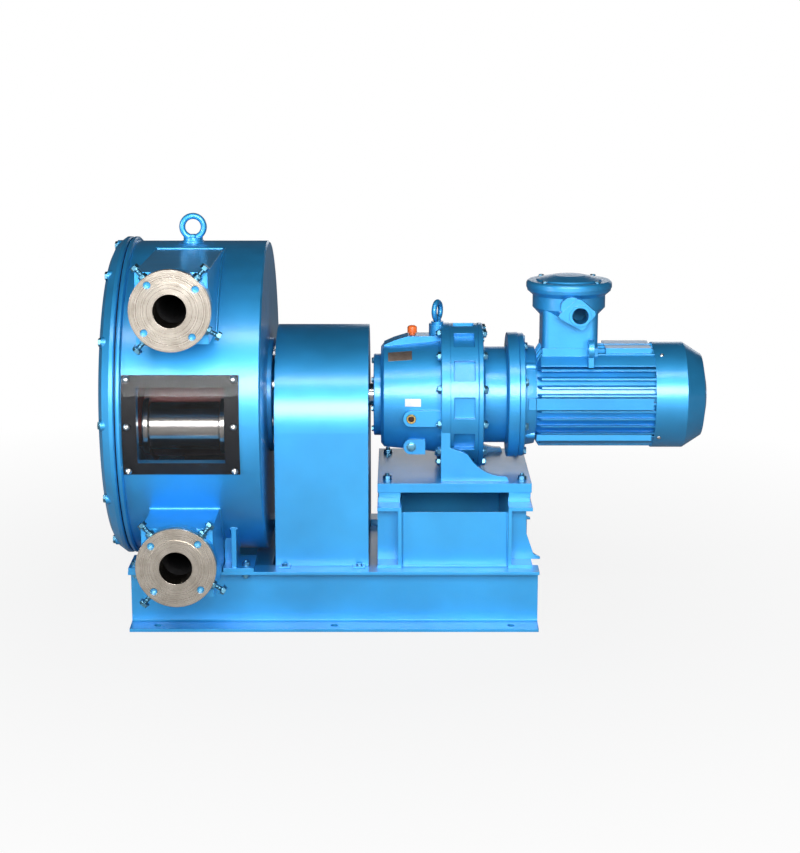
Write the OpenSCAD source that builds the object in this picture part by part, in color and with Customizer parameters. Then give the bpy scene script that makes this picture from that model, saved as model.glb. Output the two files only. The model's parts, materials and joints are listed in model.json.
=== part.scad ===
// Peristaltic hose pump with a cycloidal gearbox and a flange motor on one base frame.
// Millimetres. X runs along the shaft towards the motor, the ports face -Y, +Z is up.
// The origin is the middle of the base's underside.

/* [Base frame] */
// Length of the base channels
base_len = 1050; // [1000:10:1200]
// Width over both channels' flange tips
base_w = 590; // [560:10:680]
// Height of a base channel
chan_h = 160; // [140:5:180]
// Flange width of a base channel
chan_b = 65; // [55:1:75]
// Web thickness of a base channel
chan_web = 8.5; // [6:0.5:12]
// Flange thickness of a base channel
chan_fl = 10; // [8:0.5:13]
// Height of the cross beams between the channels
beam_h = 90; // [60:5:120]
// Diameter of the anchor holes in the bottom flanges
anchor_d = 19; // [14:1:22]
// Distance of the end anchor holes from the ends of the channels
anchor_end = 70; // [50:5:100]
// Distance of the anchor holes from the flange tips
anchor_edge = 25; // [20:1:32]

/* [Pump drum] */
// How deep the drum's rim reaches below the top of the channels
drum_sink = 13.5; // [5:0.5:20]
// Distance of the hose plane from the middle of the base
head_offset = 370; // [340:5:380]
// Outer radius of the drum
drum_r = 406; // [370:1:450]
// Thickness of the drum wall that the hose lies against
drum_wall = 34; // [28:1:38]
// Distance from the hose plane to the gasket face of the drum
drum_front = 159; // [150:1:170]
// Distance from the hose plane to the back of the drum
drum_rear = 196; // [190:1:210]
// Thickness of the drum's back plate
back_plate = 18; // [14:1:24]
// How far the cover flange stands proud of the drum wall
rim_step = 11; // [8:1:16]
// Width of the drum's cover flange
rim_w = 14; // [12:1:15]
// Thickness of the cover gasket
gasket_t = 3; // [2:0.5:5]
// Thickness of the front cover
cover_t = 42; // [36:1:46]
// Length of the front cover's full-width rim
cover_rim = 12; // [8:1:16]
// Distance of the cover's flat face from the drum's outer radius
cover_face_in = 26; // [24:1:34]
// Distance of the circle of cover bolts from the drum's outer radius
cover_bolt_in = 10; // [8:1:14]
// Number of cover bolts
cover_bolts_n = 12; // [8:4:16]

/* [Hose and ports] */
// Bore of the hose
hose_id = 80; // [70:2:84]
// Wall thickness of the hose
hose_wall = 20; // [18:1:22]
// Outer diameter of a port flange
port_d = 195; // [190:1:210]
// Thickness of a port flange
port_t = 20; // [16:1:26]
// Bolt circle of a port flange
port_pcd = 160; // [150:1:165]
// Diameter of the port bolt holes
port_hole = 18; // [14:1:20]
// Diameter of the raised face of a port flange
port_face_d = 138; // [120:1:140]
// Distance of the port faces from the shaft axis
port_reach = 578; // [560:1:600]
// Outer width of the square nozzle
nozzle_w = 172; // [168:2:184]
// Wall thickness of the square nozzle
nozzle_t = 10; // [8:1:14]
// Width of the round clamp ring behind a port flange
clamp_w = 28; // [24:1:34]

/* [Rotor] */
// Radius of a squeeze roller
roller_r = 60; // [54:1:62]
// Width of a roller over its collars
roller_w = 208; // [204:1:212]
// Height of a roller's collars above its barrel
collar_h = 10; // [6:1:12]
// Width of a roller's collar
collar_w = 18; // [14:1:18]
// Thickness of a rotor cheek
cheek_t = 18; // [14:1:22]
// Diameter of a roller axle
axle_d = 40; // [34:1:44]
// Outer radius of the rotor barrel
barrel_r = 165; // [140:5:170]
// Rest angle of the rotor below the horizontal
rotor_angle = 5.4; // [2:0.2:8]
// How much the rollers press the two hose walls together
squeeze = 1.5; // [1:0.1:3]
// Diameter of the pump shaft
shaft_d = 80; // [70:1:84]

/* [Window] */
// Width of the window pane along the shaft
window_w = 288; // [280:2:288]
// Height of the window pane
window_h = 250; // [240:2:260]
// Width of the border round the clear opening
window_border = 36; // [30:1:40]
// Thickness of the window gasket
window_gasket_t = 3; // [2:0.5:5]
// Thickness of the window pane
pane_t = 5; // [4:0.5:8]

/* [Coupling guard] */
// Gap between the drum and the guard
guard_gap = 23; // [22:1:30]
// Length of the guard along the shaft
guard_len = 239; // [236:1:250]
// Radius of the guard's arch and half its width
guard_r = 240; // [220:5:250]
// Depth of the middle of the guard's arch below the shaft
guard_drop = 54.5; // [40:0.5:60]
// Sheet thickness of the guard
guard_t = 5; // [3:0.5:6]

/* [Gearbox] */
// Gap between the guard and the output cover
gear_gap = 12; // [11:1:16]
// Thickness of the output cover
out_cover_t = 19; // [16:1:22]
// Radius of the output cover
out_cover_r = 108; // [100:1:114]
// Small radius of the output housing
bell_r0 = 138; // [134:1:146]
// Large radius of the output housing
bell_r1 = 152; // [148:1:160]
// Length of the output housing without its flange
bell_len = 156; // [150:1:170]
// Thickness of the output housing's flange
bell_flange_t = 24; // [20:1:28]
// Radius of the gearbox flanges
flange_r = 190; // [188:1:200]
// Length of the ring housing
ring_len = 72; // [66:1:80]
// Outer radius of the ring housing
ring_r = 189; // [186:1:190]
// Depth of the pockets in the ring housing
pocket_depth = 15; // [8:1:16]
// Width of the pockets in the ring housing
pocket_w = 55; // [40:1:56]
// Pitch radius of the ring pins
pin_circle_r = 145; // [140:1:150]
// Number of ring pins
ring_pins_n = 30; // [20:2:30]
// Radius of a ring pin
ring_pin_r = 6; // [4:0.5:6]
// Eccentricity of the cycloid discs
ecc = 3; // [2:0.25:3.5]
// Thickness of a cycloid disc
disc_t = 18; // [14:1:20]
// Thickness of the adapter's flange on the ring housing
adapter_flange_t = 14; // [12:1:18]
// Length of the motor adapter's neck
adapter_len = 65; // [60:1:75]
// Radius of the motor adapter's neck
adapter_r = 127; // [120:1:130]
// Half width of the gearbox foot plate
foot_half_w = 205; // [195:1:215]
// Thickness of the gearbox foot plate
foot_t = 24; // [18:1:28]
// Length of the gearbox foot plate
foot_len = 397; // [380:1:410]

/* [Gearbox stand] */
// Height of the shaft above the underside of the gearbox foot
gear_centre = 217.5; // [210:0.5:225]
// Height of the shims under the gearbox foot
shim_h = 26; // [20:1:30]
// Length of the stand's channels across the base
stand_w = 524; // [500:2:560]
// Flange width of the stand's channels
stand_b = 62; // [56:1:66]
// Thickness of the stand's channels
stand_t = 9; // [7:0.5:11]
// Thickness of the stand's plates and gussets
plate_t = 10; // [8:1:12]

/* [Motor] */
// Radius of the motor flange
motor_flange_r = 165; // [160:1:175]
// Thickness of the adapter's motor flange
motor_flange_t = 28; // [22:1:30]
// Thickness of the end shield's flange
shield_flange_t = 16; // [14:1:20]
// Length of the end shield behind its flange
shield_len = 28; // [26:1:40]
// Length of the finned frame
frame_len = 316; // [300:2:330]
// Radius over the cooling fins
fin_r = 136; // [132:1:140]
// Radius of the frame between the fins
frame_r = 117; // [114:1:120]
// Thickness of a cooling fin
fin_t = 5; // [3:0.5:6]
// Length of the fan cowl behind the frame
cowl_len = 136; // [130:1:150]
// Wall thickness of the fan cowl
cowl_t = 3; // [2:0.5:4]
// Number of fan blades
fan_blades_n = 7; // [5:1:9]
// Radius of the motor shaft in its bearings
motor_shaft_r = 22; // [18:1:24]

/* [Terminal box] */
// Width of the terminal box's square neck
tbox_w = 145; // [140:1:150]
// Distance of the terminal box from the front end of the fins
tbox_x = 90; // [80:1:100]
// Height of the top of the square neck above the shaft
tbox_neck = 212; // [205:1:220]
// Height of the flare from the neck out to the round body
tbox_flare = 24; // [16:1:30]
// Radius of the round upper body
tbox_r = 95; // [92:1:100]
// Height of the round upper body over the flare
tbox_h = 52; // [46:1:60]
// Radius of the lid's flange
lid_r = 112; // [108:1:116]
// Height of the lid's flange
lid_h = 18; // [14:1:24]

/* [Hidden] */
$fn = 72;
// radial play of a running fit
fit = 0.05;
// play of a fixed joint between a piece and its seat
seat = 0.3;
// overrun of a cutting shape
cut = 1;
// radii of the bolt sizes used
m12 = 6;
m8 = 4;

// heights of the shaft and of the gearbox foot
shaft_z = chan_h + drum_r + rim_step - drum_sink;
foot_z1 = shaft_z - gear_centre;
foot_z2 = foot_z1 + foot_t;
stand_z1 = foot_z1 - shim_h;
stand_h = stand_z1 - chan_h;

// stations along the shaft
hose_x = -head_offset;
drum_x0 = hose_x - drum_front;
drum_x1 = hose_x + drum_rear;
track_r = drum_r - drum_wall;
rim_r = drum_r + rim_step;
cover_bolt_r = drum_r - cover_bolt_in;
cover_x1 = drum_x0 - gasket_t;
cover_x0 = cover_x1 - cover_t;
cover_seat_x = cover_x0 + 8;
cover_bolt_len = cover_t - 8 + gasket_t + 14;
guard_x0 = drum_x1 + guard_gap;
guard_x1 = guard_x0 + guard_len;
gear_x0 = guard_x1 + gear_gap;
bell_x0 = gear_x0 + out_cover_t;
bell_x1 = bell_x0 + bell_len;
ring_x0 = bell_x1 + bell_flange_t;
ring_x1 = ring_x0 + ring_len;
adapter_x1 = ring_x1 + adapter_flange_t + adapter_len;
motor_x0 = adapter_x1 + motor_flange_t;
frame_x0 = motor_x0 + shield_flange_t + shield_len;
frame_x1 = frame_x0 + frame_len;
cowl_x0 = frame_x1 - 6;
cowl_x1 = frame_x1 + cowl_len;
cowl_r = fin_r + seat + cowl_t;

// hose track
hose_od = hose_id + 2 * hose_wall;
hose_out_r = track_r - seat;
port_h = hose_out_r - hose_od / 2;
pinch_h = 2 * hose_wall - squeeze;
roller_play = 0.8;
roller_reach = hose_out_r - pinch_h - roller_play;
roller_orbit = roller_reach - roller_r;
nipple_wall = 6;
hose_bore_swell = nipple_wall + 0.5;
nipple_len = 60;
hose_swell = 4;
port_back = -port_reach + port_t;

// ends of the gearbox foot and the webs of the stand's channels
foot_x0 = bell_x0 - 8;
foot_x1 = foot_x0 + foot_len;
leg_web_x0 = foot_x0 + stand_b - stand_t;
leg_web_x1 = foot_x1 - stand_b + stand_t;

// points of the ring of fasteners that hold the gearbox together
ring_bolt_r = 177;
ring_bolts_n = 12;

// Helpers

// places children with their z along the shaft, starting at station x
module on_shaft(x) {
    translate([x, 0, shaft_z]) rotate([0, 90, 0]) children();
}

// places children at radius r and angle a, counted from +Y up towards +Z
module at_angle(x, r, a) {
    on_shaft(x) rotate([0, 0, a]) translate([0, r, 0]) children();
}

// the same place on the whole ring of n
module ring_of(x, r, n, a0 = 0) {
    for (i = [0 : n - 1]) at_angle(x, r, a0 + i * 360 / n) children();
}

// turned piece: points are [radius, station]
module turned(points) {
    on_shaft(0) rotate_extrude($fn = 96) polygon(points);
}

module rod_x(x0, x1, r) {
    on_shaft(x0) cylinder(h = x1 - x0, r = r, $fn = 96);
}

module ring_x(x0, x1, ro, ri) {
    turned([[ri, x0], [ro, x0], [ro, x1], [ri, x1]]);
}

// hexagon head from z = 0 upwards, sized for a bolt of radius r
module hex(r, h) {
    cylinder(h = h, r = r * 1.85, $fn = 6);
}

// bolt of radius r: head below z = 0, shank up to z = len
module bolt(r, len) {
    translate([0, 0, -1.3 * r]) hex(r, 1.3 * r);
    translate([0, 0, -0.01]) cylinder(h = len + 0.01, r = r, $fn = 24);
}

// stud with nuts on both sides of a stack from z = 0 to z = len
module stud(r, len, top) {
    translate([0, 0, -1.5 * r - 4]) cylinder(h = len + 1.5 * r + 4 + top, r = r, $fn = 24);
    translate([0, 0, -1.5 * r]) hex(r, 1.5 * r);
    translate([0, 0, len]) hex(r, 1.6 * r);
}

// lifting eye standing on z = 0 with its ring in the XZ plane
module eye(ring_r, wire_r, collar_r, collar_h, neck_h) {
    cylinder(h = collar_h, r = collar_r, $fn = 48);
    cylinder(h = neck_h + 2 * wire_r, r = wire_r * 1.4, $fn = 48);
    translate([0, 0, neck_h + ring_r + wire_r]) rotate([90, 0, 0])
        rotate_extrude($fn = 64) translate([ring_r, 0]) circle(r = wire_r, $fn = 32);
}

// Base frame

// channel section lying open towards -Y, its web's back at y = 0
module channel_2d(h, b, web, fl) {
    difference() {
        translate([-b, 0]) square([b, h]);
        polygon([[-b - cut, fl - 2], [-web - 4, fl + 2], [-web, fl + 6], [-web, h - fl - 6],
                 [-web - 4, h - fl - 2], [-b - cut, h - fl + 2]]);
    }
}

web_back_y = base_w / 2 - chan_b;
anchor_pitch = base_len / 2 - anchor_end;

module one_base_channel() {
    difference() {
        translate([-base_len / 2, 0, 0]) rotate([90, 0, 90])
            linear_extrude(base_len) translate([-web_back_y, 0])
                channel_2d(chan_h, chan_b, chan_web, chan_fl);
        for (x = [-anchor_pitch, 0, anchor_pitch])
            translate([x, -base_w / 2 + anchor_edge, -cut])
                cylinder(h = chan_fl + 4, r = anchor_d / 2, $fn = 32);
        drum_foot_bolt_places(-1) cylinder(h = 60, r = m12 + 0.5, center = true, $fn = 24);
    }
}

module base_channels() {
    color("dodgerblue") {
        one_base_channel();
        mirror([0, 1, 0]) one_base_channel();
    }
}

// cross beams as smaller channels between the two webs
beam_b = 50;
beam_end_gap = 10;
beam_x = [-base_len / 2 + beam_end_gap, drum_x1 - 40, (guard_x1 + foot_x0) / 2 - 30,
          leg_web_x1 - beam_b - 17, base_len / 2 - beam_end_gap - beam_b];

module base_crossbeams() {
    color("dodgerblue")
        for (x = beam_x)
            translate([x, web_back_y, chan_h - 18 - beam_h]) rotate([90, 0, 0])
                linear_extrude(2 * web_back_y) difference() {
                    square([beam_b, beam_h]);
                    translate([7, 8]) square([beam_b, beam_h - 16]);
                }
}

// Drum feet

drum_foot_t = 10;
drum_foot_x0 = drum_x0 + 5;
drum_foot_x1 = drum_x1 - 30;
drum_foot_y0 = web_back_y - 60;
drum_foot_y1 = base_w / 2;
// angle from the drum's lowest line round to the outer edge of the feet
drum_foot_lean = asin(drum_foot_y1 / drum_r);

// the four holding-down bolts of the drum on side s
module drum_foot_bolt_places(s) {
    for (x = [drum_foot_x0 + 16, drum_foot_x1 - 22])
        translate([x, s * (base_w / 2 - 30), chan_h]) children();
}

// one foot: plate, cross plate up to the drum wall and a gusset on its inner side
module drum_foot(x0, x1, web_x, side) {
    upright_h = shaft_z - chan_h - drum_r * cos(drum_foot_lean) - drum_foot_t;
    difference() {
        union() {
            translate([x0, -drum_foot_y1, chan_h])
                cube([x1 - x0, drum_foot_y1 - drum_foot_y0, drum_foot_t]);
            translate([web_x, -drum_foot_y1 + 8, chan_h + drum_foot_t])
                cube([12, drum_foot_y1 - drum_foot_y0 - 8, upright_h]);
            translate([side > 0 ? web_x - 22 : web_x + 10, -web_back_y - 6, chan_h + drum_foot_t])
                cube([24, 12, upright_h]);
        }
        rod_x(drum_x0 - 10, drum_x1 + 10, drum_r + fit);
        rod_x(drum_x0 - 10, drum_x0 + rim_w + seat, rim_r + seat);
        drum_foot_bolt_places(-1) cylinder(h = 60, r = m12 + 0.5, center = true, $fn = 24);
    }
}

module drum_foot_pair() {
    drum_foot(drum_foot_x0, hose_x - nozzle_w / 2 - 3, drum_foot_x0 + 34, -1);
    drum_foot(hose_x + nozzle_w / 2 + 3, drum_foot_x1, drum_foot_x1 - 56, 1);
}

module drum_feet() {
    color("dodgerblue") {
        drum_foot_pair();
        mirror([0, 1, 0]) drum_foot_pair();
    }
}

module drum_foot_bolts() {
    color("steelblue")
        for (s = [-1, 1])
            drum_foot_bolt_places(s)
                translate([0, 0, -chan_fl - 2]) stud(m12, chan_fl + 2 + drum_foot_t, 14);
}

// Gearbox stand

module leg_2d() {
    difference() {
        square([stand_b, stand_h]);
        translate([-cut, stand_t]) square([stand_b - stand_t + cut, stand_h - 2 * stand_t]);
    }
}

module stand_legs() {
    color("dodgerblue") difference() {
        union() {
            translate([leg_web_x0 + stand_t - stand_b, stand_w / 2, chan_h]) rotate([90, 0, 0])
                linear_extrude(stand_w) leg_2d();
            translate([leg_web_x1 - stand_t + stand_b, stand_w / 2, chan_h]) rotate([90, 0, 0])
                linear_extrude(stand_w) mirror([1, 0]) leg_2d();
        }
        foot_stud_places() cylinder(h = 100, r = m12 + 0.5, center = true, $fn = 24);
    }
}

stand_plate_y = web_back_y + 8;
gusset_w = stand_b - 22;
gusset_h = stand_h - 2 * stand_t;

module stand_plates() {
    color("dodgerblue") {
        for (s = [-1, 1])
            translate([leg_web_x0 + stand_t, s * stand_plate_y - plate_t / 2, chan_h])
                cube([leg_web_x1 - leg_web_x0 - 2 * stand_t, plate_t, stand_h - 16]);
        // gussets outside the legs' webs
        for (y = [-web_back_y + 30, web_back_y - 30])
            translate([0, y + plate_t / 2, chan_h + stand_t]) rotate([90, 0, 0])
                linear_extrude(plate_t) {
                    translate([leg_web_x0 - stand_b + stand_t, 0])
                        square([stand_b - stand_t, gusset_h]);
                    translate([leg_web_x1, 0])
                        polygon([[0, 0], [gusset_w + 37, 0], [gusset_w + 37, 5], [gusset_w + 28, 9],
                                 [gusset_w + 19, 15], [gusset_w, gusset_h / 2], [gusset_w, gusset_h],
                                 [0, gusset_h]]);
                }
    }
}

foot_stud_y = 153;

module foot_stud_places() {
    for (x = [foot_x0 + 25, foot_x1 - 22], y = [-foot_stud_y, foot_stud_y])
        translate([x, y, stand_z1]) children();
}

module gearbox_shims() {
    shim_t = shim_h / 2;
    color("deepskyblue") difference() {
        for (x = [foot_x0 + 2, foot_x1 - stand_b + 2], y = [-1, 1], i = [0, 1])
            translate([x + i * 1.5, y * foot_stud_y - 48 - i * 2, stand_z1 + i * shim_t])
                cube([stand_b - 6, 96, shim_t]);
        foot_stud_places() cylinder(h = 100, r = m12 + 0.5, center = true, $fn = 24);
    }
}

module gearbox_foot_bolts() {
    color("steelblue")
        foot_stud_places()
            translate([0, 0, -stand_t]) stud(m12, stand_t + foot_z2 - stand_z1, 16);
}

// Pump drum

// places children at both ports, facing -Y: s = 1 above, s = -1 below
module at_port(s) {
    translate([hose_x, 0, shaft_z + s * port_h]) children();
}

// cylinder along -Y from y0 to y1, both counted away from the shaft
module port_rod(y0, y1, r) {
    translate([0, -y0, 0]) rotate([90, 0, 0]) cylinder(h = y1 - y0, r = r, $fn = 96);
}

opening_w = window_w - 2 * window_border;
opening_h = window_h - 2 * window_border + 12;
eye_boss_z = drum_r + 3;

module window_cut(w, h) {
    translate([hose_x - w / 2, -drum_r - 60, shaft_z - h / 2]) cube([w, drum_r, h]);
}

// bolt places of the window, on the pane's surface
window_bolt_h = asin((window_h / 2 - 12) / drum_r);

module window_bolt_places() {
    for (x = [hose_x - window_w / 2 + 13, hose_x + window_w / 2 - 13], a = [-window_bolt_h, 0, window_bolt_h])
        translate([x, 0, shaft_z]) rotate([90 - a, 0, 0]) translate([0, 0, drum_r]) children();
}

module drum_shell() {
    color("dodgerblue") difference() {
        union() {
            turned([[track_r, drum_x0], [rim_r - 4, drum_x0], [rim_r, drum_x0 + 4],
                    [rim_r, drum_x0 + rim_w - 4], [rim_r - 4, drum_x0 + rim_w], [drum_r, drum_x0 + rim_w],
                    [drum_r, drum_x1 - 4], [drum_r - 4, drum_x1], [housing_spigot_r + fit, drum_x1],
                    [housing_spigot_r + fit, drum_x1 - back_plate], [track_r, drum_x1 - back_plate]]);
            translate([hose_x, 0, shaft_z + drum_r - 10]) cylinder(h = 13, r = 28, $fn = 48);
        }
        for (s = [-1, 1]) at_port(s) port_rod(0, drum_r + 20, hose_od / 2 + 3);
        window_cut(opening_w, opening_h);
        window_bolt_places() cylinder(h = 40, r = m8 + fit, center = true, $fn = 24);
        ring_of(drum_x0 - cut, cover_bolt_r, cover_bolts_n) cylinder(h = 16 + cut, r = m12 + fit, $fn = 24);
        ring_of(drum_x1 - 16, housing_bolt_r, housing_bolts_n, 22.5)
            cylinder(h = 20, r = m12 + fit, $fn = 24);
        translate([hose_x, 0, shaft_z + drum_r - 28]) cylinder(h = 40, r = m12 + fit, $fn = 24);
    }
}

module nozzle(s) {
    color("dodgerblue") difference() {
        at_port(s) translate([-nozzle_w / 2, port_back + clamp_w, -nozzle_w / 2])
            cube([nozzle_w, -port_back - clamp_w, nozzle_w]);
        at_port(s) translate([-nozzle_w / 2 + nozzle_t, port_back + clamp_w + 12, -nozzle_w / 2 + nozzle_t])
            cube([nozzle_w - 2 * nozzle_t, -port_back, nozzle_w - 2 * nozzle_t]);
        at_port(s) port_rod(0, port_reach, clamp_bore_r);
        rod_x(hose_x - nozzle_w, hose_x + nozzle_w, drum_r + fit);
    }
}

clamp_bore_r = hose_od / 2 + hose_swell + 2;
clamp_angles = [50, 130, 230, 330];

module clamp_screw_places(s) {
    for (a = clamp_angles)
        at_port(s) translate([0, port_back + clamp_w / 2, 0]) rotate([0, 90 - a, 0]) children();
}

module clamp_rings() {
    color("dodgerblue")
        for (s = [-1, 1]) difference() {
            at_port(s) port_rod(-port_back - clamp_w, -port_back, port_d / 2);
            at_port(s) port_rod(0, port_reach, clamp_bore_r);
            clamp_screw_places(s) cylinder(h = port_d, r = m12 + fit, $fn = 24);
        }
}

module clamp_screws() {
    color("steelblue")
        for (s = [-1, 1]) clamp_screw_places(s) {
            translate([0, 0, clamp_bore_r - 1.5]) cylinder(h = 62, r = m12, $fn = 24);
            translate([0, 0, port_d / 2 + seat]) hex(m12, 8);
            translate([0, 0, port_d / 2 + 26]) hex(m12, 10);
        }
}

module port_flange(s) {
    turn = s > 0 ? 5 : -2.4;
    color("tan") difference() {
        union() {
            at_port(s) port_rod(-port_back, port_reach - 2, port_d / 2);
            at_port(s) port_rod(-port_back, port_reach, port_face_d / 2);
            at_port(s) port_rod(-port_back - nipple_len, port_reach, hose_id / 2 + nipple_wall - seat);
        }
        at_port(s) port_rod(0, port_reach + cut, hose_id / 2);
        for (i = [0 : 3])
            at_port(s) rotate([0, 45 + turn + 90 * i, 0]) translate([port_pcd / 2, 0, 0])
                port_rod(-port_back - cut, port_reach + cut, port_hole / 2);
    }
}

module port_nozzles() {
    nozzle(1);
    nozzle(-1);
}

module upper_port_flange() port_flange(1);
module lower_port_flange() port_flange(-1);

// Hose: a flexible tube swept from port to port, flattened where the rear roller presses it

hose_sides = 24;
pinch_span = 36;
arc_angles = [for (i = [0 : 6]) 90 - 7.5 * i,
              for (i = [0 : 24]) 42 - 3 * i,
              for (i = [0 : 7]) -37.5 - 7.5 * i];

// how strongly the tube is flattened at angle a, from 0 to 1
function pinch(a) = abs(a - rotor_angle) < pinch_span
    ? (1 + cos(180 * (a - rotor_angle) / pinch_span)) / 2 : 0;

// one ring of points of a flattened tube of height h and straight part w
function flat_ring(h, w) = [for (i = [0 : hose_sides - 1])
    let (t = 360 * (i + 0.5) / hose_sides) [(cos(t) > 0 ? 1 : -1) * w / 2 + h / 2 * cos(t), h / 2 * sin(t)]];

// straight part that keeps the middle of the wall at its full length
function flat_part(h) = (hose_od - h) * PI / 2;

function pinched_h(a) = hose_od - (hose_od - pinch_h) * pinch(a);

// stations: [angle round the track, distance towards the port, swell of the outside, swell of the bore]
hose_stations = concat(
    [[90, -port_back - seat, hose_swell, hose_bore_swell],
     [90, -port_back - nipple_len - 4, hose_swell, hose_bore_swell],
     [90, -port_back - nipple_len - 44, 0, 0]],
    [for (a = arc_angles) [a, 0, 0, 0]],
    [[-90, -port_back - nipple_len - 44, 0, 0],
     [-90, -port_back - nipple_len - 4, hose_swell, hose_bore_swell],
     [-90, -port_back - seat, hose_swell, hose_bore_swell]]);

function hose_ring(st, inner) =
    let (h = pinched_h(st[0]), mid = hose_out_r - h / 2,
         hh = inner ? max(h - 2 * hose_wall, 1) + 2 * st[3] : h + 2 * st[2],
         pts = flat_ring(hh, flat_part(h)))
    [for (p = pts) let (rho = mid + p[1])
        [hose_x + p[0], rho * cos(st[0]) - st[1], shaft_z + rho * sin(st[0])]];

module hose() {
    n = len(hose_stations);
    m = hose_sides;
    pts = concat([for (st = hose_stations) each hose_ring(st, false)],
                 [for (st = hose_stations) each hose_ring(st, true)]);
    inner0 = n * m;
    function at(i, j) = i * m + (j % m);
    faces = concat(
        [for (i = [0 : n - 2], j = [0 : m - 1]) [at(i, j), at(i, j + 1), at(i + 1, j + 1), at(i + 1, j)]],
        [for (i = [0 : n - 2], j = [0 : m - 1])
            [inner0 + at(i, j), inner0 + at(i + 1, j), inner0 + at(i + 1, j + 1), inner0 + at(i, j + 1)]],
        [for (j = [0 : m - 1]) [at(0, j), inner0 + at(0, j), inner0 + at(0, j + 1), at(0, j + 1)]],
        [for (j = [0 : m - 1])
            [at(n - 1, j), at(n - 1, j + 1), inner0 + at(n - 1, j + 1), inner0 + at(n - 1, j)]]);
    color("dimgray") polyhedron(pts, faces, convexity = 8);
}

// Front cover

module front_cover() {
    color("dodgerblue") difference() {
        union() {
            turned([[0, cover_x0], [drum_r - cover_face_in, cover_x0], [rim_r - 14, cover_x0 + 11],
                    [rim_r, cover_x1 - cover_rim], [rim_r, cover_x1 - 3], [rim_r - 3, cover_x1],
                    [0, cover_x1]]);
            ring_of(cover_x0 + 2, cover_bolt_r, cover_bolts_n) cylinder(h = cover_t - 16, r = 14, $fn = 32);
        }
        ring_of(cover_x0 - cut, cover_bolt_r, cover_bolts_n)
            cylinder(h = cover_t + 2 * cut, r = m12 + 0.5, $fn = 24);
        ring_of(cover_x0 - cut, cover_bolt_r, cover_bolts_n)
            cylinder(h = cover_seat_x - cover_x0 + cut, r = 15, $fn = 32);
    }
}

module cover_gasket() {
    color("black") difference() {
        ring_x(cover_x1, drum_x0, drum_r + 2, track_r + 2);
        ring_of(cover_x1 - cut, cover_bolt_r, cover_bolts_n)
            cylinder(h = gasket_t + 2 * cut, r = m12 + 0.5, $fn = 24);
    }
}

module cover_bolts() {
    color("steelblue")
        ring_of(cover_seat_x, cover_bolt_r, cover_bolts_n) bolt(m12, cover_bolt_len);
}

// Window

module curved_sheet(r0, r1, w, h) {
    intersection() {
        ring_x(hose_x - w / 2, hose_x + w / 2, r1, r0);
        window_cut(w, h);
    }
}

module window_gasket() {
    color("dimgray") difference() {
        curved_sheet(drum_r + fit, drum_r + window_gasket_t, window_w, window_h);
        window_cut(opening_w, opening_h);
        window_bolt_places() cylinder(h = 40, r = m8 + 0.5, center = true, $fn = 24);
    }
}

pane_r = drum_r + window_gasket_t;

module window_pane() {
    color("lightcyan", 0.4) difference() {
        curved_sheet(pane_r + fit, pane_r + pane_t, window_w, window_h);
        window_bolt_places() cylinder(h = 40, r = m8 + 0.5, center = true, $fn = 24);
    }
}

module window_screws() {
    color("silver")
        window_bolt_places() {
            translate([0, 0, -18]) cylinder(h = 18 + window_gasket_t + pane_t + 1, r = m8, $fn = 24);
            translate([0, 0, window_gasket_t + pane_t + seat]) difference() {
                translate([0, 0, -3]) sphere(r = 9, $fn = 48);
                translate([0, 0, -20]) cylinder(h = 20, r = 12, $fn = 24);
            }
        }
}

module drum_eye_bolt() {
    color("deepskyblue") translate([hose_x, 0, shaft_z + eye_boss_z]) {
        eye(28, 8, 25, 9, 0);
        translate([0, 0, -24]) cylinder(h = 25, r = m12, $fn = 24);
    }
}

// Shaft line of the pump

housing_spigot_r = 75;
housing_flange_r = 150;
housing_bolt_r = 126;
housing_bolts_n = 8;
bearing_ro = 70;
bearing_w = 33;
housing_len = 108;
housing_x1 = drum_x1 + housing_len;
seal_w = 14;

module bearing_housing() {
    color("dodgerblue") difference() {
        turned([[bearing_ro - 8, drum_x1 - back_plate + 2], [housing_spigot_r, drum_x1 - back_plate + 2],
                [housing_spigot_r, drum_x1], [housing_flange_r, drum_x1], [housing_flange_r, drum_x1 + 10],
                [housing_flange_r - 2, drum_x1 + 12], [96, drum_x1 + 12], [92, drum_x1 + 16],
                [92, housing_x1 - 2], [90, housing_x1], [bearing_ro, housing_x1],
                [bearing_ro, drum_x1 + 14], [bearing_ro - 8, drum_x1 + 14]]);
        ring_of(drum_x1 - cut, housing_bolt_r, housing_bolts_n, 22.5)
            cylinder(h = 12 + 2 * cut, r = m12 + 0.5, $fn = 24);
    }
}

module housing_bolts() {
    color("silver")
        ring_of(drum_x1 + 12, housing_bolt_r, housing_bolts_n, 22.5)
            mirror([0, 0, 1]) bolt(m12, 26);
}

module shaft_bearings() {
    color("silver") {
        ring_x(drum_x1 + 15, drum_x1 + 15 + bearing_w, bearing_ro - fit, shaft_d / 2 + fit);
        ring_x(housing_x1 - bearing_w - 1, housing_x1 - 1, bearing_ro - fit, shaft_d / 2 + fit);
    }
}

module shaft_seal() {
    color("black")
        ring_x(drum_x1 - back_plate + 3, drum_x1 - back_plate + 3 + seal_w, bearing_ro - 8 - fit,
               shaft_d / 2 + fit);
}

cheek_x0 = hose_x - roller_w / 2 - 2 - cheek_t;
cheek_x1 = hose_x + roller_w / 2 + 2;
coupling_x = housing_x1 + 77;
coupling_r = 90;
hub_r = 58;
journal_r = shaft_d / 2 - 5;

module pump_shaft() {
    color("silver") turned([[0, cheek_x0 - 1], [shaft_d / 2 - 2, cheek_x0 - 1], [shaft_d / 2, cheek_x0 + 1],
        [shaft_d / 2, housing_x1 + 4], [journal_r, housing_x1 + 4], [journal_r, coupling_x - 6],
        [0, coupling_x - 6]]);
}

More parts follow.
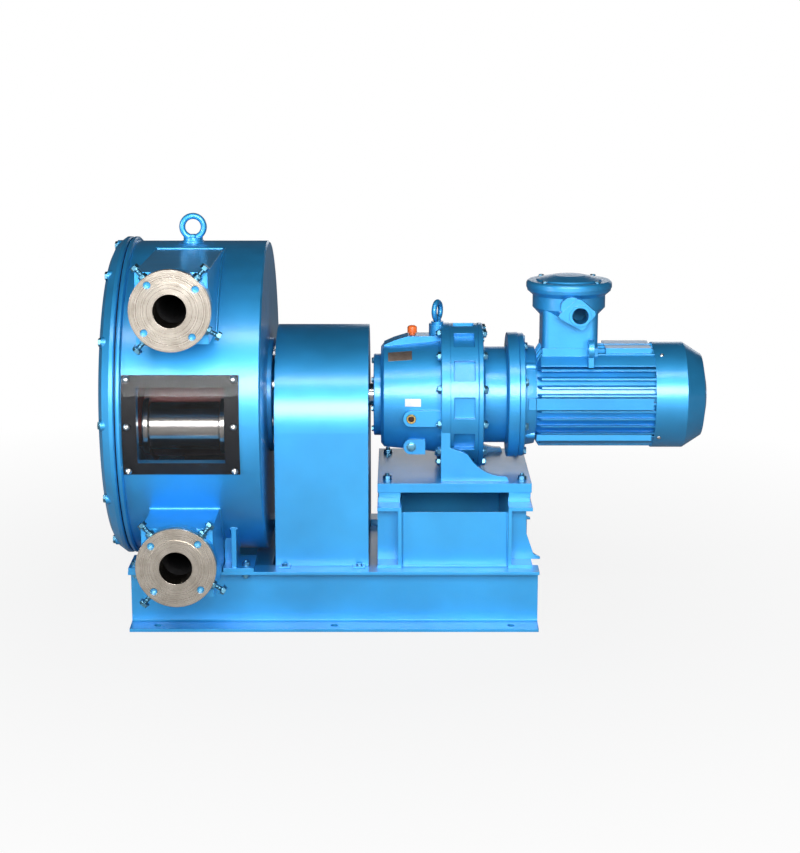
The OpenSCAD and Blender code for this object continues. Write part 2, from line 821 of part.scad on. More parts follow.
// outline of a rotor cheek: a disc drawn out to the two roller axles
module cheek_2d() {
    end_r = 46;
    lean = asin((barrel_r + 12 - end_r) / roller_orbit);
    circle(r = barrel_r + 12, $fn = 96);
    for (s = [-1, 1]) {
        translate([0, s * roller_orbit]) circle(r = end_r, $fn = 48);
        polygon([for (q = [[1, 0], [1, 1], [-1, 1], [-1, 0]])
            let (r = q[1] == 1 ? end_r : barrel_r + 12)
            [q[0] * r * cos(lean), s * (q[1] * roller_orbit + r * sin(lean))]]);
    }
}

module rotor_frame(x) {
    on_shaft(x) rotate([0, 0, rotor_angle]) children();
}

module rotor() {
    color("firebrick") difference() {
        union() {
            rotor_frame(cheek_x0) linear_extrude(cheek_t) cheek_2d();
            rotor_frame(cheek_x1) linear_extrude(cheek_t) cheek_2d();
            ring_x(cheek_x0 + cheek_t, cheek_x1, barrel_r, barrel_r - 14);
            ring_x(cheek_x0 + cheek_t, cheek_x1, shaft_d / 2 + 22, shaft_d / 2 + fit);
        }
        rod_x(cheek_x0 - cut, cheek_x1 + cheek_t + cut, shaft_d / 2 + fit);
        for (s = [0, 180]) at_angle(cheek_x0 - cut, roller_orbit, rotor_angle + s)
            cylinder(h = roller_w + 2 * cheek_t + 10, r = axle_d / 2 + fit, $fn = 48);
    }
}

module rotor_end_disc() {
    color("silver") {
        ring_x(cheek_x0 - 1 - 12 - seat, cheek_x0 - 1 - seat, 62, 8);
        rod_x(cheek_x0 - 1 - 12 - seat - 11, cheek_x0 - 1 - 12 - seat, 16);
    }
}

axle_x0 = cheek_x0 - 10;
axle_x1 = cheek_x1 + cheek_t + 10;

module roller_axles() {
    color("silver")
        for (s = [0, 180]) at_angle(axle_x0, roller_orbit, rotor_angle + s) difference() {
            cylinder(h = axle_x1 - axle_x0, r = axle_d / 2, $fn = 48);
            translate([-axle_d, -axle_d, -cut]) cube([axle_d * 2, axle_d * 0.6, 6]);
        }
}

roller_bore_r = 40;
roller_bearing_w = 23;

module roller(a) {
    h = roller_w;
    rc = roller_r + collar_h;
    seat_d = roller_bearing_w + 6;
    color("lightgray") at_angle(hose_x - h / 2, roller_orbit, a)
        rotate_extrude($fn = 96) polygon([[roller_bore_r, 0], [rc - 3, 0], [rc, 3], [rc, collar_w - 4],
            [roller_r, collar_w], [roller_r, h - collar_w], [rc, h - collar_w + 4], [rc, h - 3], [rc - 3, h],
            [roller_bore_r, h], [roller_bore_r, h - seat_d], [roller_bore_r - 8, h - seat_d],
            [roller_bore_r - 8, seat_d], [roller_bore_r, seat_d]]);
}

module roller_bearings(a) {
    color("silver")
        for (z = [3, roller_w - roller_bearing_w - 3])
            at_angle(hose_x - roller_w / 2 + z, roller_orbit, a) difference() {
                cylinder(h = roller_bearing_w, r = roller_bore_r - fit, $fn = 48);
                translate([0, 0, -cut])
                    cylinder(h = roller_bearing_w + 2 * cut, r = axle_d / 2 + fit, $fn = 48);
            }
}

module roller_a() roller(rotor_angle + 180);
module roller_b() roller(rotor_angle);
module roller_bearings_a() roller_bearings(rotor_angle + 180);
module roller_bearings_b() roller_bearings(rotor_angle);

// Coupling

coupling_pins_n = 8;
coupling_pin_r = 8;
sleeve_r = 14;
coupling_pin_circle = 68;
out_shaft_r = 30;
half_gap = 4;
pump_flange_t = 24;
gear_flange_t = 30;
hub_len = 36;

module coupling_halves() {
    pump_x0 = coupling_x - pump_flange_t;
    gear_x = coupling_x + half_gap;
    gear_x1 = gear_x + gear_flange_t;
    color("slategray") {
        difference() {
            turned([[journal_r + fit, pump_x0 - hub_len], [hub_r, pump_x0 - hub_len], [hub_r, pump_x0],
                    [coupling_r, pump_x0], [coupling_r, coupling_x], [journal_r + fit, coupling_x]]);
            ring_of(pump_x0 - cut, coupling_pin_circle, coupling_pins_n)
                cylinder(h = pump_flange_t + 2 * cut, r = coupling_pin_r + fit, $fn = 24);
        }
        difference() {
            turned([[out_shaft_r + fit, gear_x], [coupling_r, gear_x], [coupling_r, gear_x1],
                    [hub_r, gear_x1], [hub_r, gear_x1 + hub_len], [out_shaft_r + fit, gear_x1 + hub_len]]);
            ring_of(coupling_x - cut, coupling_pin_circle, coupling_pins_n)
                cylinder(h = gear_flange_t + half_gap + 2 * cut, r = sleeve_r + fit, $fn = 32);
        }
    }
}

module coupling_pins() {
    color("silver")
        ring_of(coupling_x - pump_flange_t, coupling_pin_circle, coupling_pins_n) {
            translate([0, 0, -7]) hex(6, 7);
            cylinder(h = pump_flange_t + half_gap + gear_flange_t, r = coupling_pin_r, $fn = 24);
            translate([0, 0, pump_flange_t + half_gap]) cylinder(h = gear_flange_t, r = sleeve_r, $fn = 32);
        }
}

// Coupling guard

guard_cz = shaft_z - guard_drop;

module arch(x, len, r, z0) {
    translate([x, 0, guard_cz]) rotate([90, 0, 90]) linear_extrude(len) difference() {
        union() {
            circle(r = r, $fn = 96);
            translate([-r, z0 - guard_cz]) square([2 * r, guard_cz - z0]);
        }
        translate([-2 * r, -2 * r + z0 - guard_cz]) square([4 * r, 2 * r]);
    }
}

guard_tab_w = 30;

module guard_tab_places() {
    for (x = [guard_x0 + 24, guard_x1 - 24], s = [-1, 1])
        translate([x, s * (guard_r + 13), chan_h]) children();
}

module coupling_guard() {
    color("dodgerblue") difference() {
        union() {
            difference() {
                arch(guard_x0, guard_len, guard_r, chan_h + seat);
                arch(guard_x0 + guard_t, guard_len - 2 * guard_t, guard_r - guard_t, chan_h - cut);
            }
            for (x = [guard_x0 + 24, guard_x1 - 24], s = [-1, 1])
                translate([x - guard_tab_w / 2, s * (guard_r + 11) - 14, chan_h + seat])
                    cube([guard_tab_w, 28, 5]);
        }
        rod_x(guard_x0 - cut, guard_x0 + guard_t + cut, 98);
        rod_x(guard_x1 - guard_t - cut, guard_x1 + cut, 66);
        guard_tab_places() cylinder(h = 30, r = m8 + 0.5, center = true, $fn = 24);
    }
}

// Gearbox

bell_bore_r = 55;
carrier_r = 118;
disc_x0 = ring_x0 + 6;
disc_gap = 3;
disc_x1 = disc_x0 + 2 * disc_t + disc_gap;
carrier_x0 = bell_x1 + 8;
carrier_t = 18;
out_pin_r = 9;
out_pins_n = 8;
out_pin_circle = 92;
cam_r = 32;
ecc_bearing_r = 50;
in_journal_r = 24;

module concave_rib(s) {
    // cast rib from the foot plate up to the flange, hollowed by a large radius
    translate([0, s * 169 + 9, 0]) rotate([90, 0, 0]) linear_extrude(18) difference() {
        polygon([[bell_x1, foot_z2 - 1], [bell_x1, shaft_z - 60], [ring_x0 - seat, shaft_z - 60],
                 [ring_x0 - seat, foot_z2 + 88], [bell_x1 + 60, foot_z2 + 74], [foot_x1 - 62, foot_z2 + 10],
                 [foot_x1 - 58, foot_z2 - 1]]);
        translate([bell_x1 + 165, foot_z2 + 120]) circle(r = 108, $fn = 64);
    }
}

module gearbox_housing() {
    color("dodgerblue") difference() {
        union() {
            turned([[0, bell_x0], [bell_r0 - 10, bell_x0], [bell_r0, bell_x0 + 8], [bell_r1, bell_x1 - 6],
                    [bell_r1, bell_x1], [flange_r - 2, bell_x1], [flange_r, bell_x1 + 2], [flange_r, ring_x0],
                    [0, ring_x0]]);
            // foot plate, cross web and ribs
            translate([foot_x0, -foot_half_w, foot_z1]) cube([foot_len, 2 * foot_half_w, foot_t]);
            translate([bell_x1, -178, foot_z2 - 1]) cube([bell_flange_t, 356, shaft_z - foot_z2 - 20]);
            for (s = [-1, 1]) concave_rib(s);
            // pad for the breather and boss for the eye bolt
            translate([0, 32, shaft_z]) rotate([90, 0, 0]) linear_extrude(64)
                polygon([[bell_x0 + 8, 0], [bell_x0 + 8, bell_r0], [bell_x0 + 35, bell_r0 + 12],
                         [bell_x0 + 71, pad_r], [bell_x1, pad_r], [bell_x1, 0]]);
            translate([bell_x1 - 8, 0, shaft_z + 60]) cylinder(h = flange_r - 60, r = 22, $fn = 48);
            // long boss of the oil level glass and round boss of the drain plug
            translate([0, -sight_y + 40, sight_z]) rotate([90, 0, 0]) linear_extrude(40) {
                translate([sight_x, 0]) circle(r = 21, $fn = 48);
                translate([sight_x, -21]) square([bell_x1 - sight_x + 5, 42]);
            }
            translate([0, -70, drain_z]) rotate([90, 0, 0]) linear_extrude(50) {
                translate([sight_x, 0]) circle(r = 20, $fn = 48);
                translate([sight_x, -20]) square([bell_x1 - sight_x - 40, 40]);
            }
        }
        rod_x(bell_x0 - cut, ring_x0 + cut, bell_bore_r);
        rod_x(carrier_x0 - 2, ring_x0 + cut, carrier_r + 4);
        ring_of(bell_x1 - cut, ring_bolt_r, ring_bolts_n, 15)
            cylinder(h = bell_flange_t + 2 * cut, r = m12 + 0.5, $fn = 24);
        ring_of(bell_x0 - cut, cover_screw_r, 8, 11) cylinder(h = 21, r = m8 + fit, $fn = 24);
        foot_stud_places() cylinder(h = 140, r = m12 + 0.5, center = true, $fn = 24);
        translate([sight_x, -sight_y - 10, sight_z]) rotate([-90, 0, 0]) cylinder(h = 24, r = 12.5, $fn = 32);
        translate([eye_x, 0, shaft_z + flange_r - 30]) cylinder(h = 40, r = m12 + fit, $fn = 24);
    }
}

sight_x = bell_x0 + 79;
sight_y = bell_r1 + 6;
sight_z = shaft_z - 34;
drain_z = shaft_z - 116;
eye_x = bell_x1 - 8;
cover_screw_r = out_cover_r - 11;
pad_r = bell_r1 + 9;

module output_cover() {
    color("dodgerblue") difference() {
        turned([[out_shaft_r + 0.5, gear_x0], [out_cover_r - 2, gear_x0], [out_cover_r, gear_x0 + 2],
                [out_cover_r, bell_x0], [out_shaft_r + 0.5, bell_x0]]);
        ring_of(gear_x0 - cut, cover_screw_r, 8, 11)
            cylinder(h = out_cover_t + 2 * cut, r = m8 + 0.5, $fn = 24);
    }
}

// ring housing with a flat-bottomed pocket between every two studs
module gearbox_ring() {
    pocket_edge = 9;
    color("dodgerblue") difference() {
        ring_x(ring_x0, ring_x1, ring_r, pin_circle_r + ring_pin_r + 1);
        ring_of(ring_x0 + pocket_edge, ring_r - pocket_depth, ring_bolts_n)
            translate([-pocket_w / 2, 0, 0]) cube([pocket_w, 2 * pocket_depth, ring_len - 2 * pocket_edge]);
        ring_of(ring_x0 - cut, ring_bolt_r, ring_bolts_n, 15)
            cylinder(h = ring_len + 2 * cut, r = m12 + 0.5, $fn = 24);
    }
}

// the pins stand in two thin end rings, as a cage pressed into the ring housing
module ring_pins() {
    color("silver") {
        for (x = [ring_x0 + 1, ring_x1 - 6])
            ring_x(x, x + 4, pin_circle_r + ring_pin_r + 0.9, pin_circle_r - 1);
        ring_of(ring_x0 + 0.5, pin_circle_r, ring_pins_n, 90)
            cylinder(h = ring_len - 2, r = ring_pin_r, $fn = 24);
    }
}

module ring_bolts() {
    color("steelblue")
        ring_of(bell_x1, ring_bolt_r, ring_bolts_n, 15)
            stud(m12, bell_flange_t + ring_len + adapter_flange_t, 6);
}

module output_shaft() {
    color("silver") {
        turned([[0, coupling_x + half_gap + 2], [out_shaft_r, coupling_x + half_gap + 2],
                [out_shaft_r, carrier_x0], [carrier_r, carrier_x0], [carrier_r, carrier_x0 + carrier_t],
                [0, carrier_x0 + carrier_t]]);
        ring_of(carrier_x0 + carrier_t - 0.01, out_pin_circle, out_pins_n, 90)
            cylinder(h = disc_x1 - carrier_x0 - carrier_t + 2, r = out_pin_r, $fn = 32);
    }
}

module gearbox_bearings() {
    color("silver")
        for (x = [bell_x0 + 6, bell_x1 - 44])
            ring_x(x, x + 32, bell_bore_r - fit, out_shaft_r + fit);
}

// Outline of a cycloid disc with one lobe fewer than there are ring pins

lobe_play = 0.5;
lobe_points = 12;

function lobe_tilt(t) = atan(sin((1 - ring_pins_n) * t)
    / (pin_circle_r / (ecc * ring_pins_n) - cos((1 - ring_pins_n) * t)));

function lobe_point(t) = let (p = ring_pin_r + lobe_play, a = t + lobe_tilt(t)) [
    pin_circle_r * cos(t) - p * cos(a) - ecc * cos(ring_pins_n * t),
    -pin_circle_r * sin(t) + p * sin(a) + ecc * sin(ring_pins_n * t)];

module cycloid_2d() {
    n = (ring_pins_n - 1) * lobe_points;
    difference() {
        polygon([for (i = [0 : n - 1]) lobe_point(360 * i / n)]);
        circle(r = ecc_bearing_r, $fn = 64);
        for (i = [0 : out_pins_n - 1]) rotate(i * 360 / out_pins_n)
            translate([out_pin_circle, 0]) circle(r = out_pin_r + ecc + lobe_play, $fn = 48);
    }
}

// s = 1 hangs below the axis, s = -1 stands above it
module cycloid_disc(s) {
    x = s > 0 ? disc_x0 : disc_x0 + disc_t + disc_gap;
    color("gray") on_shaft(x) rotate([0, 0, s > 0 ? 0 : 180]) translate([ecc, 0, 0])
        linear_extrude(disc_t) cycloid_2d();
}

module cycloid_disc_a() cycloid_disc(1);
module cycloid_disc_b() cycloid_disc(-1);

module motor_adapter() {
    plate_x1 = ring_x1 + adapter_flange_t;
    in_seat_r = in_journal_r + 24;
    color("dodgerblue") difference() {
        turned([[adapter_r - 14, plate_x1 + 4], [in_seat_r, plate_x1], [in_seat_r, ring_x1],
                [flange_r - 2, ring_x1], [flange_r, ring_x1 + 2], [flange_r, plate_x1 - 2],
                [flange_r - 2, plate_x1], [adapter_r + 6, plate_x1], [adapter_r, plate_x1 + 6],
                [adapter_r, adapter_x1 - 5], [adapter_r + 5, adapter_x1],
                [motor_flange_r - 2, adapter_x1], [motor_flange_r, adapter_x1 + 2],
                [motor_flange_r, motor_x0], [adapter_r - 14, motor_x0]]);
        ring_of(ring_x1 - cut, ring_bolt_r, ring_bolts_n, 15)
            cylinder(h = adapter_flange_t + 2 * cut, r = m12 + 0.5, $fn = 24);
        ring_of(adapter_x1 - cut, motor_bolt_r, 8, 22.5)
            cylinder(h = motor_flange_t + 2 * cut, r = m12 + 0.5, $fn = 24);
    }
}

// breather, level glass ring and drain plug, all screwed into their bosses
module gearbox_plugs() {
    color("orangered") translate([bell_x0 + 82, 0, shaft_z + pad_r + seat]) {
        cylinder(h = 5, r = 13, $fn = 32);
        cylinder(h = 20, r = 10, $fn = 32);
    }
    color("goldenrod") translate([sight_x, -sight_y + 8, sight_z]) rotate([90, 0, 0]) difference() {
        cylinder(h = 12, r = 12.2, $fn = 32);
        translate([0, 0, 8]) cylinder(h = 8, r = 7.5, $fn = 32);
    }
    color("steelblue") translate([sight_x, -120 - seat, drain_z]) rotate([90, 0, 0])
        cylinder(h = 9, r = 10, $fn = 6);
}

module gearbox_eye_bolt() {
    color("deepskyblue") translate([eye_x, 0, shaft_z + flange_r]) rotate([0, 0, 68]) {
        eye(23, 7, 16, 6, 4);
        translate([0, 0, -24]) cylinder(h = 25, r = m12, $fn = 24);
    }
}

// Motor

motor_bolt_r = 151;
shield_r = 134;
band_h = 31;

module motor_shield() {
    face_x1 = motor_x0 + shield_flange_t;
    bore_r = motor_shaft_r + 20;
    rim = motor_flange_r - 2;
    color("dodgerblue") difference() {
        union() {
            turned([[bore_r, motor_x0], [rim - 2, motor_x0], [rim, motor_x0 + 2], [rim, face_x1 - 2],
                    [rim - 2, face_x1], [shield_r, face_x1], [shield_r - 3, frame_x0 - 10],
                    [shield_r - 5, frame_x0], [frame_r - 9, frame_x0],
                    [frame_r - 16, motor_x0 + 22], [bore_r, motor_x0 + 22]]);
            // bosses of its screws and a pad at each end of the smooth bands
            ring_of(face_x1 - 2, shield_r - 8, 4, 45) cylinder(h = frame_x0 - face_x1 + 1, r = 12, $fn = 32);
            for (s = [-1, 1])
                translate([frame_x0 - 20, s * (frame_r + 7) - 12, shaft_z - band_h / 2])
                    cube([19, 24, band_h]);
        }
        ring_of(motor_x0 - cut, motor_bolt_r, 8, 22.5)
            cylinder(h = shield_flange_t + 2 * cut, r = m12 + 0.5, $fn = 24);
    }
}

fin_gap = 21;
fins_side = 4;
fins_top = 3;
core_inset = 54;

module motor_frame() {
    fin_x0 = frame_x0 + 4;
    fin_x1 = frame_x1 - 2;
    fin_w = fin_r - 36;
    fin_mid = fin_r - fin_w / 2;
    fin_top = fin_r - 20;
    pad_end = cowl_x0 - 6;
    color("dodgerblue") difference() {
        union() {
            ring_x(frame_x0, frame_x1, frame_r, frame_r - 10);
            intersection() {
                turned([[0, fin_x0], [frame_r + 3, fin_x0], [fin_r, fin_x0 + 10], [fin_r, fin_x1], [0, fin_x1]]);
                union() {
                    // level fins on both sides
                    for (i = [-fins_side : fins_side], s = [-1, 1])
                        translate([fin_x0, s * fin_mid - fin_w / 2, shaft_z + i * fin_gap - fin_t / 2])
                            cube([fin_x1 - fin_x0, fin_w, fin_t]);
                    // upright fins above and below
                    for (i = [-fins_top : fins_top], s = [-1, 1])
                        translate([fin_x0, i * fin_gap - fin_t / 2, shaft_z + s * fin_top - 20])
                            cube([fin_x1 - fin_x0, fin_t, 40]);
                    // smooth corners between them
                    for (s = [-1, 1], t = [-1, 1])
                        translate([fin_x0, s * 84 - 14, shaft_z + t * 108 - 16]) cube([fin_x1 - fin_x0, 28, 32]);
                }
            }
            // smooth band on the sides
            for (s = [-1, 1])
                translate([frame_x0, s * (frame_r + 7) - 12, shaft_z - band_h / 2])
                    cube([pad_end - frame_x0, 24, band_h]);
            // square pads along the bottom corners
            for (s = [-1, 1])
                translate([frame_x0 + 4, s * 84 - 17, shaft_z - 104]) cube([pad_end - frame_x0 - 4, 34, 16]);
            // seat of the terminal box
            translate([frame_x0 + tbox_x - tbox_w / 2, -tbox_w / 2, shaft_z + 60])
                cube([tbox_w, tbox_w, fin_r - 60]);
            // smooth pad on the top behind the terminal box
            translate([frame_x1 - 132, -62, shaft_z + frame_r - 12])
                cube([pad_end - frame_x1 + 132, 124, 29.5]);
        }
        rod_x(frame_x0 - cut, frame_x1 + cut, frame_r - 10);
        motor_lug_place() translate([-lug_w / 2 - seat, -lug_h - seat, -seat])
            cube([lug_w + 2 * seat, lug_h + seat, lug_t + 2 * seat]);
    }
}

// lifting lug beside the terminal box, standing across the shaft and let into the corner
lug_r = 26;
lug_t = 14;
lug_w = 34;
lug_h = 46;
lug_hole_r = 13;

module motor_lug_place() {
    translate([tb_x + tbox_w / 2 - 28, -99, shaft_z + 138]) rotate([90, 0, 90]) children();
}

module motor_lug() {
    color("dodgerblue") motor_lug_place() difference() {
        union() {
            cylinder(h = lug_t, r = lug_r, $fn = 48);
            translate([-lug_w / 2, -lug_h, 0]) cube([lug_w, lug_h, lug_t]);
        }
        translate([0, 0, -cut]) cylinder(h = lug_t + 2 * cut, r = lug_hole_r, $fn = 32);
    }
}

module motor_stator() {
    color("gray") ring_x(frame_x0 + core_inset, frame_x1 - 60, frame_r - 10 - fit, 72);
}

module motor_shaft() {
    core_x0 = frame_x0 + core_inset;
    core_x1 = frame_x1 - 60;
    fan_seat_r = motor_shaft_r - 6;
    color("silver") {
        // shaft with the rotor core
        turned([[0, disc_x0 - 1], [in_journal_r, disc_x0 - 1], [in_journal_r, ring_x1 + 20],
                [motor_shaft_r, ring_x1 + 20], [motor_shaft_r, core_x0], [70, core_x0], [70, core_x1],
                [motor_shaft_r, core_x1], [motor_shaft_r, frame_x1 + 10], [fan_seat_r, frame_x1 + 14],
                [fan_seat_r, frame_x1 + 72], [0, frame_x1 + 72]]);
        for (s = [0, 1])
            on_cam(s) cylinder(h = disc_t, r = cam_r, $fn = 64);
    }
    // rings of the eccentric bearings
    color("darkgray")
        for (s = [0, 1])
            on_cam(s) rotate_extrude($fn = 64) translate([cam_r + fit, 0])
                square([ecc_bearing_r - cam_r - 2 * fit, disc_t]);
}

// places children on the eccentric that carries disc s
module on_cam(s) {
    on_shaft(disc_x0 + s * (disc_t + disc_gap)) rotate([0, 0, 180 * s]) translate([ecc, 0, 0]) children();
}

module motor_bearings() {
    color("silver") {
        ring_x(ring_x1 + 1, ring_x1 + adapter_flange_t - 1, in_journal_r + 24 - fit, in_journal_r + fit);
        ring_x(motor_x0 + 1, motor_x0 + 21, motor_shaft_r + 20 - fit, motor_shaft_r + fit);
        // rear end shield with its bearing
        ring_x(frame_x1 - 14, frame_x1 - 2, frame_r - 10 - fit, motor_shaft_r + 20);
        ring_x(frame_x1 - 24, frame_x1 - 2, motor_shaft_r + 20, motor_shaft_r + fit);
    }
}

module fan_cowl() {
    color("dodgerblue") difference() {
        turned([[cowl_r - cowl_t, cowl_x0], [cowl_r, cowl_x0], [cowl_r, cowl_x1 - 60],
                [cowl_r - 31, cowl_x1 - 12], [cowl_r - 88, cowl_x1], [0, cowl_x1], [0, cowl_x1 - cowl_t],
                [cowl_r - 89, cowl_x1 - cowl_t], [cowl_r - 33, cowl_x1 - 14],
                [cowl_r - cowl_t, cowl_x1 - 61]]);
        // curved air slots in rings round the middle of the end
        for (k = [0 : 3], i = [0 : 5])
            on_shaft(cowl_x1 - 16) rotate([0, 0, 60 * i + 6]) rotate_extrude(angle = 48, $fn = 96)
                translate([20 + 18 * k, 0]) square([9, 30]);
    }
}

module cooling_fan() {
    hub = 32;
    blade_r = cowl_r - 32;
    fan_x0 = frame_x1 + 24;
    color("black") {
        ring_x(fan_x0, fan_x0 + 40, hub, motor_shaft_r - 6 + fit);
        ring_x(fan_x0, fan_x0 + 4, blade_r - 2, hub - 1);
        ring_of(fan_x0 + 3.9, 0, fan_blades_n) translate([-2, hub - 2, 0]) cube([4, blade_r - hub + 2, 34]);
    }
}

// Terminal box

tb_x = frame_x0 + tbox_x;
tb_z0 = shaft_z + fin_r;
tb_z1 = shaft_z + tbox_neck;
tb_body_z = tb_z1 + tbox_flare;
tb_z2 = tb_body_z + tbox_h;
tb_wall = 12;

module neck_2d() {
    side = tbox_w / 2;
    corner = 20;
    square([2 * side, 2 * (side - corner)], center = true);
    square([2 * (side - corner), 2 * side], center = true);
    for (x = [-1, 1], y = [-1, 1])
        translate([x * (side - corner), y * (side - corner)]) circle(r = corner, $fn = 48);
}

// plate of the cable entry, drawn out to four rounded corners
module entry_2d() {
    polygon([[-48, -10], [5, -38], [12, -34], [40, 3], [38, 11], [2, 42], [-8, 44], [-53, 5], [-56, -2]]);
}

module terminal_box() {
    color("dodgerblue") difference() {
        union() {
            difference() {
                union() {
                    translate([tb_x, 0, tb_z0]) linear_extrude(tb_body_z - tb_z0) neck_2d();
                    translate([tb_x, 0, 0]) rotate_extrude($fn = 96)
                        polygon([[0, tb_z1], [tbox_w / 2, tb_z1], [tbox_r, tb_body_z], [tbox_r, tb_z2 - 20],
                                 [lid_r - 3, tb_z2 - 8], [lid_r - 1, tb_z2], [0, tb_z2]]);
                }
                translate([tb_x, 0, tb_body_z]) cylinder(h = tbox_h + cut, r = tbox_r - tb_wall, $fn = 96);
                translate([tb_x - tbox_w / 2 + tb_wall, -tbox_w / 2 + tb_wall, tb_z1 - 34])
                    cube([tbox_w - 2 * tb_wall, tbox_w - 2 * tb_wall, tbox_flare + 34 + cut]);
            }
            // cable entry: round boss with a lobed plate and a closed second boss
            translate([gland_x, -58, gland_z]) rotate([90, 0, 0]) cylinder(h = 70, r = 28, $fn = 64);
            translate([gland_x - 22, -70, gland_z + 20]) rotate([90, 0, 0]) cylinder(h = 52, r = 28, $fn = 64);
            translate([gland_x, -84, gland_z]) rotate([90, 0, 0]) linear_extrude(40) entry_2d();
        }
        translate([gland_x, -40, gland_z]) rotate([90, 0, 0]) cylinder(h = 120, r = gland_hole_r, $fn = 48);
    }
}

gland_x = tb_x + 20;
gland_z = tb_z1 + 17;
gland_hole_r = 21;

module terminal_lid() {
    lid_z = tb_z2 + lid_h;
    color("dodgerblue") translate([tb_x, 0, 0]) rotate_extrude($fn = 96)
        polygon([[0, tb_z2 + seat], [lid_r, tb_z2 + seat], [lid_r, lid_z - 7], [lid_r - 2, lid_z - 3],
                 [lid_r - 6, lid_z], [lid_r - 25, lid_z], [lid_r - 28, lid_z + 4],
                 [lid_r - 72, lid_z + 13], [0, lid_z + 14]]);
}

// screws of the output cover, guard tabs, terminal box lid, motor flange and fan cowl
module small_screws() {
    color("steelblue") {
        ring_of(gear_x0 - seat, cover_screw_r, 8, 11) bolt(m8, out_cover_t + 18);
        guard_tab_places() translate([0, 0, 5 + seat]) mirror([0, 0, 1]) bolt(m8, 4);
        for (i = [0 : 3]) translate([tb_x, 0, 0]) rotate([0, 0, 90 * i + 45])
            translate([lid_r - 15.5, 0, tb_z2 + lid_h + seat]) hex(4, 5);
        ring_of(motor_x0 + shield_flange_t + seat, motor_bolt_r, 8, 22.5)
            mirror([0, 0, 1]) bolt(m12 - 0.5, shield_flange_t + motor_flange_t - 2);
    }
}

base_channels();
base_crossbeams();
drum_feet();
drum_foot_bolts();
stand_legs();
stand_plates();
gearbox_shims();
gearbox_foot_bolts();
drum_shell();
port_nozzles();
clamp_rings();
upper_port_flange();
lower_port_flange();
clamp_screws();
hose();
front_cover();
cover_gasket();
cover_bolts();
window_gasket();
window_pane();
window_screws();
drum_eye_bolt();
bearing_housing();
housing_bolts();
shaft_bearings();
shaft_seal();
pump_shaft();
rotor();
rotor_end_disc();
roller_axles();
roller_a();
roller_b();
roller_bearings_a();
roller_bearings_b();
coupling_halves();
coupling_pins();
coupling_guard();
gearbox_housing();
output_cover();
gearbox_ring();
ring_pins();
ring_bolts();
output_shaft();
gearbox_bearings();
cycloid_disc_a();
cycloid_disc_b();
motor_adapter();
gearbox_plugs();
gearbox_eye_bolt();
motor_shield();
motor_frame();
motor_lug();
motor_stator();
motor_shaft();
motor_bearings();
fan_cowl();
cooling_fan();
terminal_box();
terminal_lid();
small_screws();
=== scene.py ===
"""Looks of the hose pump: its paint, metal and rubber finishes, the bolts, welds, plugs and
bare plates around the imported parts, and the studio. Metres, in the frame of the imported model."""

import json
import math

import bpy
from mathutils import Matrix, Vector

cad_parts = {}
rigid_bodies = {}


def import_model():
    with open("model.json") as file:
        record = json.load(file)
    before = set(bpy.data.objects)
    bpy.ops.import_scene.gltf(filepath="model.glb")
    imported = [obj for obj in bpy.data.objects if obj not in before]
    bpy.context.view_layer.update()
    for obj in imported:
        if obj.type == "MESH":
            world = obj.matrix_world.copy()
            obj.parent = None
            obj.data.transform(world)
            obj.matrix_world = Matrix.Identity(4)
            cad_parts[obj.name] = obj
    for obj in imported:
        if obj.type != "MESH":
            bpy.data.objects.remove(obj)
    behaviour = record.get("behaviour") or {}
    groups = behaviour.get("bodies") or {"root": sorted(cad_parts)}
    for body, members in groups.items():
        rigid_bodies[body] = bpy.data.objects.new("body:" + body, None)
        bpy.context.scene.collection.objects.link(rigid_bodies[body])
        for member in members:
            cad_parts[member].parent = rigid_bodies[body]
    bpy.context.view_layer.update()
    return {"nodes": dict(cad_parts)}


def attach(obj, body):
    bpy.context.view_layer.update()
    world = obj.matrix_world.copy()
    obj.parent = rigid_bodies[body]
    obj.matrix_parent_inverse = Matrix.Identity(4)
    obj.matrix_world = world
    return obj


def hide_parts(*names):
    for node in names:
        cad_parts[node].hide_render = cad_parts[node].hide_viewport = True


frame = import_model()
nodes = frame["nodes"]
scene = bpy.context.scene

MM = 0.001
SHARP_DEG = 32

# Stations and sizes of the pump that the fitted pieces share, in millimetres
SHAFT_Z = 563.5
HOSE_X = -370
PORT_H = 311.7
DRUM_R = 406
NOZZLE_HALF = 86
CHANNEL_TOP = 160
GUARD_X0, GUARD_X1 = -151, 88
BELL_X0, BELL_X1 = 119, 275
BELL_R, BELL_TAPER = 137.2, 0.0985
RING_X1 = 371
COWL_R = 139.3
M12, M8 = 6, 4

# Face that each ring of fasteners sits on, and the radius of the ring
COVER_X, COVER_BOLT_R = -566, 396
HOUSING_X, HOUSING_BOLT_R = -162, 126
SEAL_X, SEAL_SCREW_R = 99.7, 97
RING_BOLT_R = 177
MOTOR_FLANGE_X, MOTOR_FLANGE_R = 494.3, 151
TERMINAL_X, LID_Z, LID_SCREW_R = 612, 869.8, 96.5
CLAMP_Y = -544


def rgba(colour):
    """A colour or a grey level with its alpha."""
    return (*colour, 1) if hasattr(colour, "__len__") else (colour, colour, colour, 1)


def fill_ramp(ramp, stops):
    """Fills a colour ramp from (position, colour or level) pairs in rising order."""
    first, *middle, last = stops
    ends = ramp.elements
    ends[0].position, ends[1].position = first[0], last[0]
    ends[0].color, ends[1].color = rgba(first[1]), rgba(last[1])
    for position, colour in middle:
        ends.new(position).color = rgba(colour)


